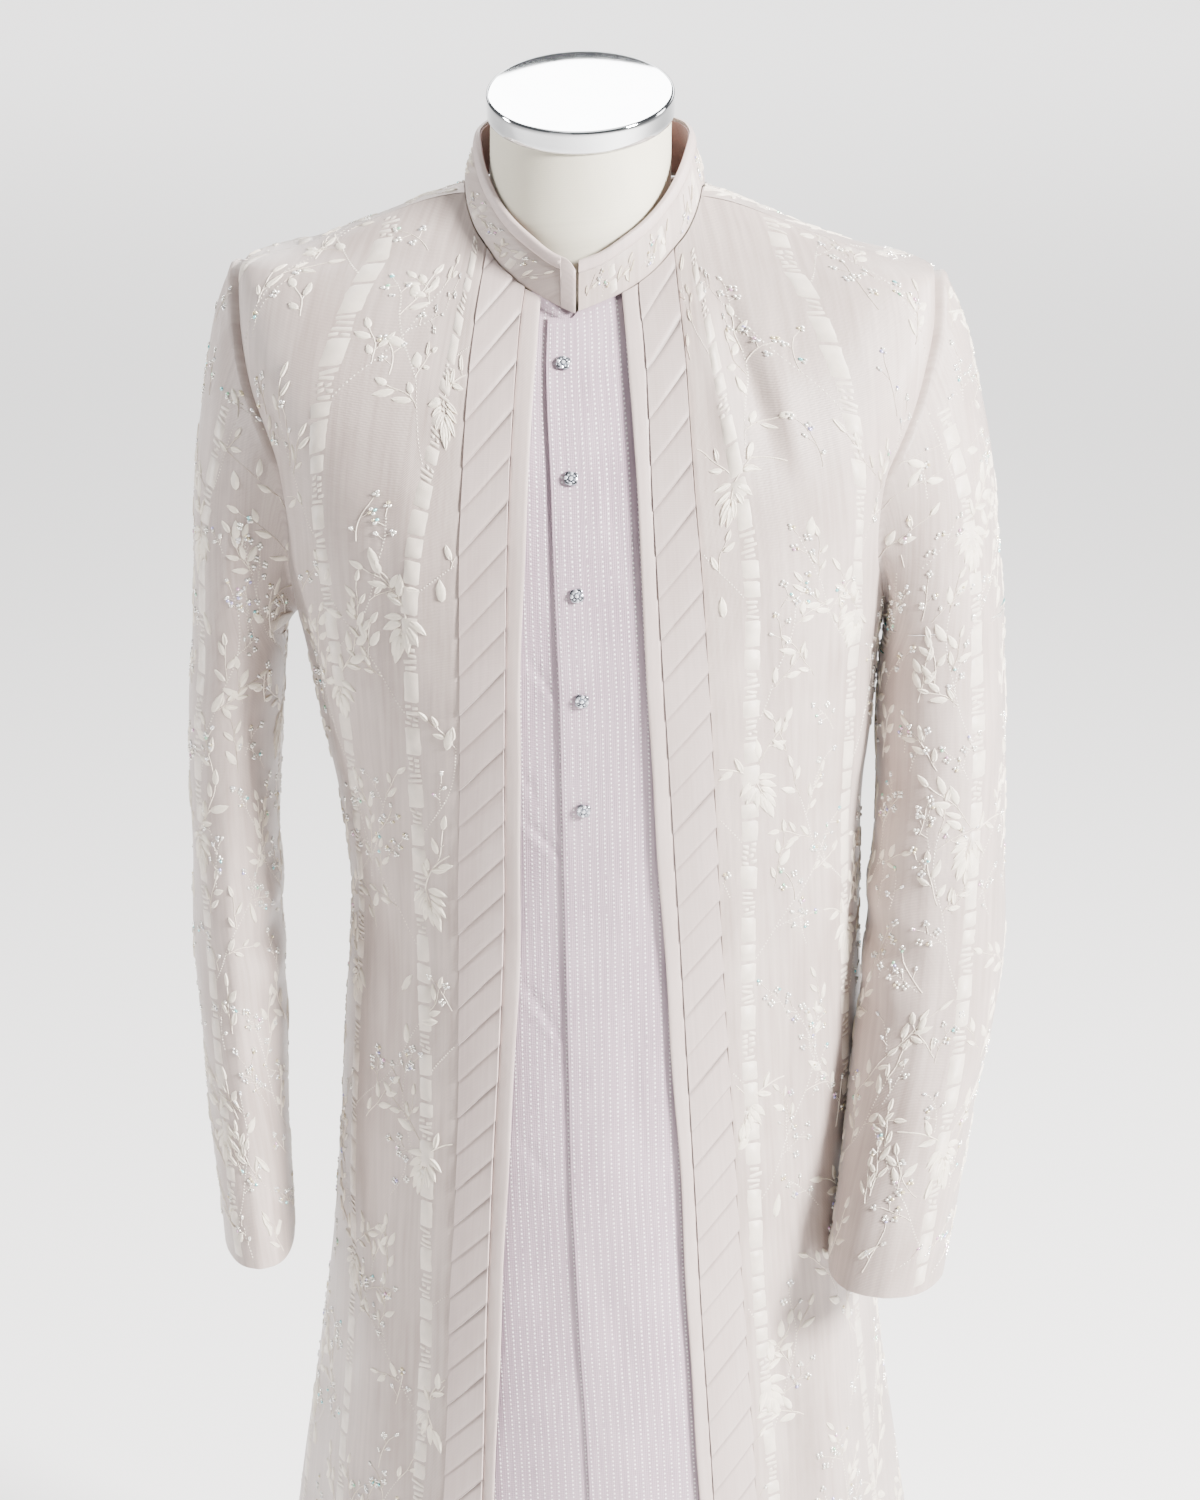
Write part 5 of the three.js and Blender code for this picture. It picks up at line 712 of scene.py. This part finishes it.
grow(T, 6, float(C.H[-1]), [(lambda h, f=f, p=p: C.width(h) * f + 5 * np.sin(np.asarray(h) / 120.0 + p)) for f, p in ((0.09, 0), (0.255, 1), (0.42, 2.2), (0.585, 3.4), (0.75, 4.1), (0.915, 5))])
T.build("embroidery_back", "back")
for nm, sd in (("right", 51), ("left", 67)):
    C = CLOTHS["sleeve_" + nm]; T = Trim(C, 4, float(C.top.max()) - 4, seed=sd)
    grow(T, 6, float(C.top.max()) - 6, [(lambda h, f=f: C.width(h) * f + 3 * np.sin(np.asarray(h) / 90.0)) for f in (0.155, 0.50, 0.82)])
    T.build("embroidery_sleeve_" + nm, "sleeve_" + nm)
C = CLOTHS["collar"]; T = Trim(C, 1.2, float(C.H[-1]) - 1.2, margin=1.0, seed=71); s = 8.0; i = 0
while s < float(C.W.min()) - 6:
    (T.sprig if i % 3 != 1 else T.berries)(s, 4.0 if i % 2 else 8.0, (math.pi / 2 if i % 2 else 0.9) + T.r.normal(0, 0.5), T.r.uniform(12, 17), 0.62); s += T.r.uniform(11, 15); i += 1
    if i % 4 == 2: T.patch("stalk", s - 2, 2.5, math.pi / 2 + 0.25, 9, 6.5, 2, lift=0.55); T.patch("stalk", s - 4.5, 13.0, math.pi / 2 + 0.25, 8, 6.2, 2, lift=0.55)
T.build("embroidery_collar", "collar")

# pearly dots in columns on the inner cloth
def pearls(nm, seed, from_right):
    C = CLOTHS["inner_" + nm]; r = np.random.default_rng(seed); H = float(C.H[-1]); S_, H_ = [], []
    cols = np.arange(2.6 if nm == "left" else 18.0, float(C.W.max()), 5.2)
    for i, c in enumerate(cols):
        h = np.arange(2.0 + (i % 2) * 0.9, H - 2.5, 3.1); w = C.width(h); s = (w - c) if from_right else np.full_like(h, c); p = C.at(np.clip(s, 0, w), h)
        x, z = p[:, 0], p[:, 2]; lo = LINE["openRight"](z) - 4; hi = LINE["openLeft"](z) + 6
        keep = (s > 1.4) & (s < w - 1.4) & (x > lo) & (x < hi) & (r.uniform(size=len(h)) > 0.012)
        S_.append(s[keep]); H_.append(h[keep])
    S_, H_ = np.concatenate(S_), np.concatenate(H_); n = len(S_); a = np.arange(6) / 6 * 2 * np.pi; rad = 0.80 * r.uniform(0.9, 1.12, n)
    ring_s = S_[:, None] + rad[:, None] * 0.95 * np.cos(a); ring_h = H_[:, None] + rad[:, None] * 1.1 * np.sin(a)
    V = np.concatenate([C.at(ring_s.ravel(), ring_h.ravel(), -0.05).reshape(n, 6, 3), C.at(S_, H_, 0.42)[:, None]], 1).reshape(-1, 3); F = []
    for k in range(n):
        b = 7 * k; F += [(b + j, b + (j + 1) % 6, b + 6) for j in range(6)] + [tuple(b + j for j in reversed(range(6)))]
    uv = np.concatenate([np.stack([ring_s, ring_h], -1), np.stack([S_, H_], -1)[:, None]], 1).reshape(-1, 2)
    ob = make("inner_dots_" + nm, V, F, M_DOT, uv=uv, smooth_angle=80); turn_out(ob, C, np.array([[20.0, 200.0, 0]])); put(ob, "inner_satin"); print("DOTS", nm, n)
pearls("left", 5, False); pearls("right", 6, True)

# ------------------------------------------------------------------ studs
def stud(idx, x, z):
    p = np.array([[x, float(front_y(x, z)), z]]); n = normal_at(p)[0]; c = skin(p, -INNER_LEFT_DROP + 0.35, fine=False)[0][0]
    e1 = unit(np.array([1.0, 0, 0]) - n * n[0]); e2 = np.cross(n, e1); turn = rng.uniform(-0.25, 0.25); K = 64; t = np.arange(K) / K * 2 * np.pi
    rings = []
    for h, k in ((0, 0.90), (0.3, 0.97), (0.7, 1.0), (1.3, 0.99), (1.8, 0.93), (2.15, 0.80), (2.1, 0.66), (1.7, 0.52), (1.55, 0.44)):
        r = 5.2 * k * (0.72 + 0.28 * np.abs(np.cos(2 * (t + np.pi / 4 + turn))) ** 0.8)
        rings.append(c + e1 * (r * np.cos(t))[:, None] + e2 * (r * np.sin(t))[:, None] + n * h)
    ob = loft(f"stud_{idx}", np.array(rings), M_SILVER, angle=35); put(ob, "stud_crystal", f"button_{idx}")
    V, F = [], []
    def gem(ctr, r, h, sides, tw):
        b = len(V); q = np.arange(sides) / sides * 2 * np.pi + tw
        for hh, kk in ((0, 0.8), (0.35 * h, 1.0), (0.75 * h, 0.82), (h, 0.45)):
            for a in q: V.append(ctr + e1 * r * kk * math.cos(a) + e2 * r * kk * math.sin(a) + n * hh)
        for lv in range(3):
            for j in range(sides): F.append((b + lv * sides + j, b + lv * sides + (j + 1) % sides, b + (lv + 1) * sides + (j + 1) % sides, b + (lv + 1) * sides + j))
        F.append(tuple(b + j for j in reversed(range(sides)))); F.append(tuple(b + 3 * sides + j for j in range(sides)))
    gem(c + n * 1.3, 1.5, 2.0, 8, 0.2)
    for j in range(4):
        a = j * np.pi / 2 - turn; ctr = c + (e1 * math.cos(a) + e2 * math.sin(a)) * 3.3 + n * 1.65; gem(ctr, 1.25, 1.1, 7, a)
        a += np.pi / 4; gem(c + (e1 * math.cos(a) + e2 * math.sin(a)) * 2.75 + n * 1.5, 0.75, 0.9, 6, a)
    st = make(f"stud_stones_{idx}", np.array(V), F, M_STONE, smooth_angle=15); put(st, "stud_crystal", f"button_{idx}")
for i_, (x_, z_) in enumerate([(-6.4, 1307), (1, 1240), (5.8, 1167), (9.2, 1097), (9.8, 1019)]): stud(i_ + 1, x_, z_)

# ------------------------------------------------------------------ dress form
NF = np.array([[1300, 30, 0, 20], [1325, 56, -1, 45], [1345, 60.5, -1, 50], [1366, 60, 0, 51.5], [1385, 59.5, 1, 52.5], [1400, 59.2, 2.5, 53], [1418, 59, 4.5, 53.5], [1435, 58.8, 6.5, 54.5], [1470, 58.5, 9, 56]], float)
NFw, NFy, NFd = [pchip(NF[:, 0], NF[:, i]) for i in (1, 2, 3)]
def torso():
    K = 120; th = np.arange(K) / K * 2 * np.pi; c, s = np.cos(th), np.sin(th); away = 11
    def trunk(z):
        zz = z + 9; a = np.maximum(1, Ba(zz) - away); f = np.maximum(0.5, Bf(zz) - away - 1); b = np.maximum(1, Bb(zz) - away); lo = np.zeros(K); hi = np.full(K, 400.0)
        for _ in range(36):
            m = (lo + hi) / 2; x, y = m * c, m * s; dx = np.abs(x - Bx(zz)) / a
            g = np.where(y < 0, dx ** Bnf(zz) + (np.abs(y) / f) ** Bnf(zz), dx ** Bnb(zz) + (np.abs(y) / b) ** Bnb(zz)); lo = np.where(g < 1, m, lo); hi = np.where(g < 1, hi, m)
        return np.where(zz > 1401, 0, lo)
    def neck(z):
        w, d, cy = NFw(z), NFd(z), NFy(z); A = (c / w) ** 2 + (s / d) ** 2; B = -2 * s * cy / d ** 2; C = (cy / d) ** 2 - 1
        return (-B + np.sqrt(np.maximum(0, B * B - 4 * A * C))) / (2 * A)
    def soft(p, q, k):
        h = np.clip(0.5 + 0.5 * (p - q) / k, 0, 1); return q + (p - q) * h + k * h * (1 - h)
    top_c = np.array([CAP_C[0], CAP_C[1] + (CAP_H + 0.35) * math.sin(CAP_TILT), CAP_C[2] - (CAP_H + 0.35) * math.cos(CAP_TILT)])
    lv = np.interp(np.arange(0, 22.01, 0.25), np.arange(23), [655, 690, 760, 840, 915, 980, 1050, 1110, 1170, 1220, 1262, 1292, 1312, 1326, 1336, 1344, 1352, 1361, 1371, 1382, 1394, 1407, 1420])
    rings = []
    for z in lv:
        lean = smooth((z - 1380) / 50) * 0.55; zz = np.full(K, z); r = np.zeros(K); k = 5 if z > 1300 else 0.01
        for _ in range(3):
            t = trunk(zz); q = np.zeros(K) if z < 1300 else neck(zz); r = np.where(q == 0, t, np.where(t == 0, q, soft(t, q, k))); zz = z + lean * math.tan(CAP_TILT) * r * s
        rings.append(np.stack([r * c - (2 * smooth((z - 1340) / 60) if z > 1340 else 0), r * s, zz], -1))
    last = rings[-1]; R = CAP_R - 2.2
    end = top_c + np.stack([R * c, R * s * math.cos(CAP_TILT), R * s * math.sin(CAP_TILT)], -1)
    for u in (0.2, 0.4, 0.6, 0.8, 0.93, 0.985, 1.0):
        rings.append(last * (1 - u) + end * u + ((-0.5 if u == 1.0 else 0) * unit(np.stack([c, s, 0 * c], -1))))
    return np.array(rings)
T = torso(); Q = np.concatenate([T, T[:, :1]], 1); ss = np.concatenate([np.zeros((len(T), 1)), np.cumsum(np.linalg.norm(np.diff(Q, axis=1), axis=2), 1)], 1)[:, :-1]
ob = loft("form_body", T, M_FORM, uv=np.stack([ss, T[..., 2]], -1).reshape(-1, 2), angle=40); put(ob, "form_cover", "form_torso")
def cap():
    K = 128; t = np.arange(K) / K * 2 * np.pi; up = np.array([0, -math.sin(CAP_TILT), math.cos(CAP_TILT)]); e1 = np.array([1.0, 0, 0]); e2 = np.cross(up, e1); ctr = np.array(CAP_C)
    rings = []
    for r, h in ((56, -CAP_H), (59.4, -CAP_H), (60.6, -CAP_H + 0.5), (61, -CAP_H + 1.6), (61, -CAP_H + 4), (60.85, -8), (61, -4), (61, -1.6), (60.6, -0.6), (59.7, -0.1), (58.5, 0), (40, 0.25), (20, 0.35), (4, 0.4)):
        rings.append(ctr + (e1 * np.cos(t)[:, None] + e2 * np.sin(t)[:, None]) * r + up * h)
    return np.array(rings)
ob = loft("neck_cap_metal", cap(), M_CHROME, angle=60); put(ob, "chrome", "neck_cap")
for nm, mt in (("stand_pole", M_CHROME), ("stand_base", M_STAND)):
    o = bpy.data.objects[nm]
    for sl in o.material_slots: sl.material = mt

# ------------------------------------------------------------------ stage and light
def plain(name, colour, rough):
    m, t, b = nodes_of(name); b.inputs["Base Color"].default_value = (*lin(colour), 1); b.inputs["Roughness"].default_value = rough; b.inputs["Specular IOR Level"].default_value = 0.1; return m
fl = make("floor", np.array([[-40000, -40000, -1], [40000, -40000, -1], [40000, 40000, -1], [-40000, 40000, -1]], float), [(0, 1, 2, 3)], plain("floor_pale", (240, 238, 237), 0.9))
from mathutils import Vector
def area_light(name, loc, aim, size, power, colour=(1, 1, 1)):
    d = bpy.data.lights.new(name, "AREA"); d.shape = "RECTANGLE"; d.size, d.size_y = size; d.energy = power; d.color = colour
    o = bpy.data.objects.new(name, d); bpy.context.scene.collection.objects.link(o); o.location = loc
    o.rotation_euler = (Vector(aim) - Vector(loc)).to_track_quat("-Z", "Y").to_euler(); return o
area_light("key", (2.6, -1.35, 2.6), (0.02, 0, 1.05), (0.7, 0.8), 780, (1, 0.985, 0.965))
area_light("fill", (-1.2, -3.4, 1.5), (0, 0, 1.0), (1.6, 2.0), 5, (0.985, 0.985, 1))
area_light("rim_left", (-2.6, 0.05, 1.8), (-0.1, 0, 1.0), (0.35, 1.7), 95, (0.985, 0.99, 1))
area_light("rim_right", (2.4, 0.9, 2.0), (0, 0, 1.1), (0.7, 1.8), 40, (1, 0.99, 0.98))
area_light("top", (0.1, -0.3, 3.6), (0, 0, 1), (1.6, 1.6), 22)
area_light("floor_wash", (0, 10.5, 6.0), (0, 11.0, 0), (16, 8), 2600)
area_light("back", (-0.45, 2.35, 4.5), (0, 0, 1.2), (1.9, 1.9), 190)
w = bpy.data.worlds.new("world"); bpy.context.scene.world = w; w.use_nodes = True; bg = w.node_tree.nodes["Background"]
bg.inputs["Color"].default_value = (*lin((236, 238, 242)), 1); bg.inputs["Strength"].default_value = 0.18
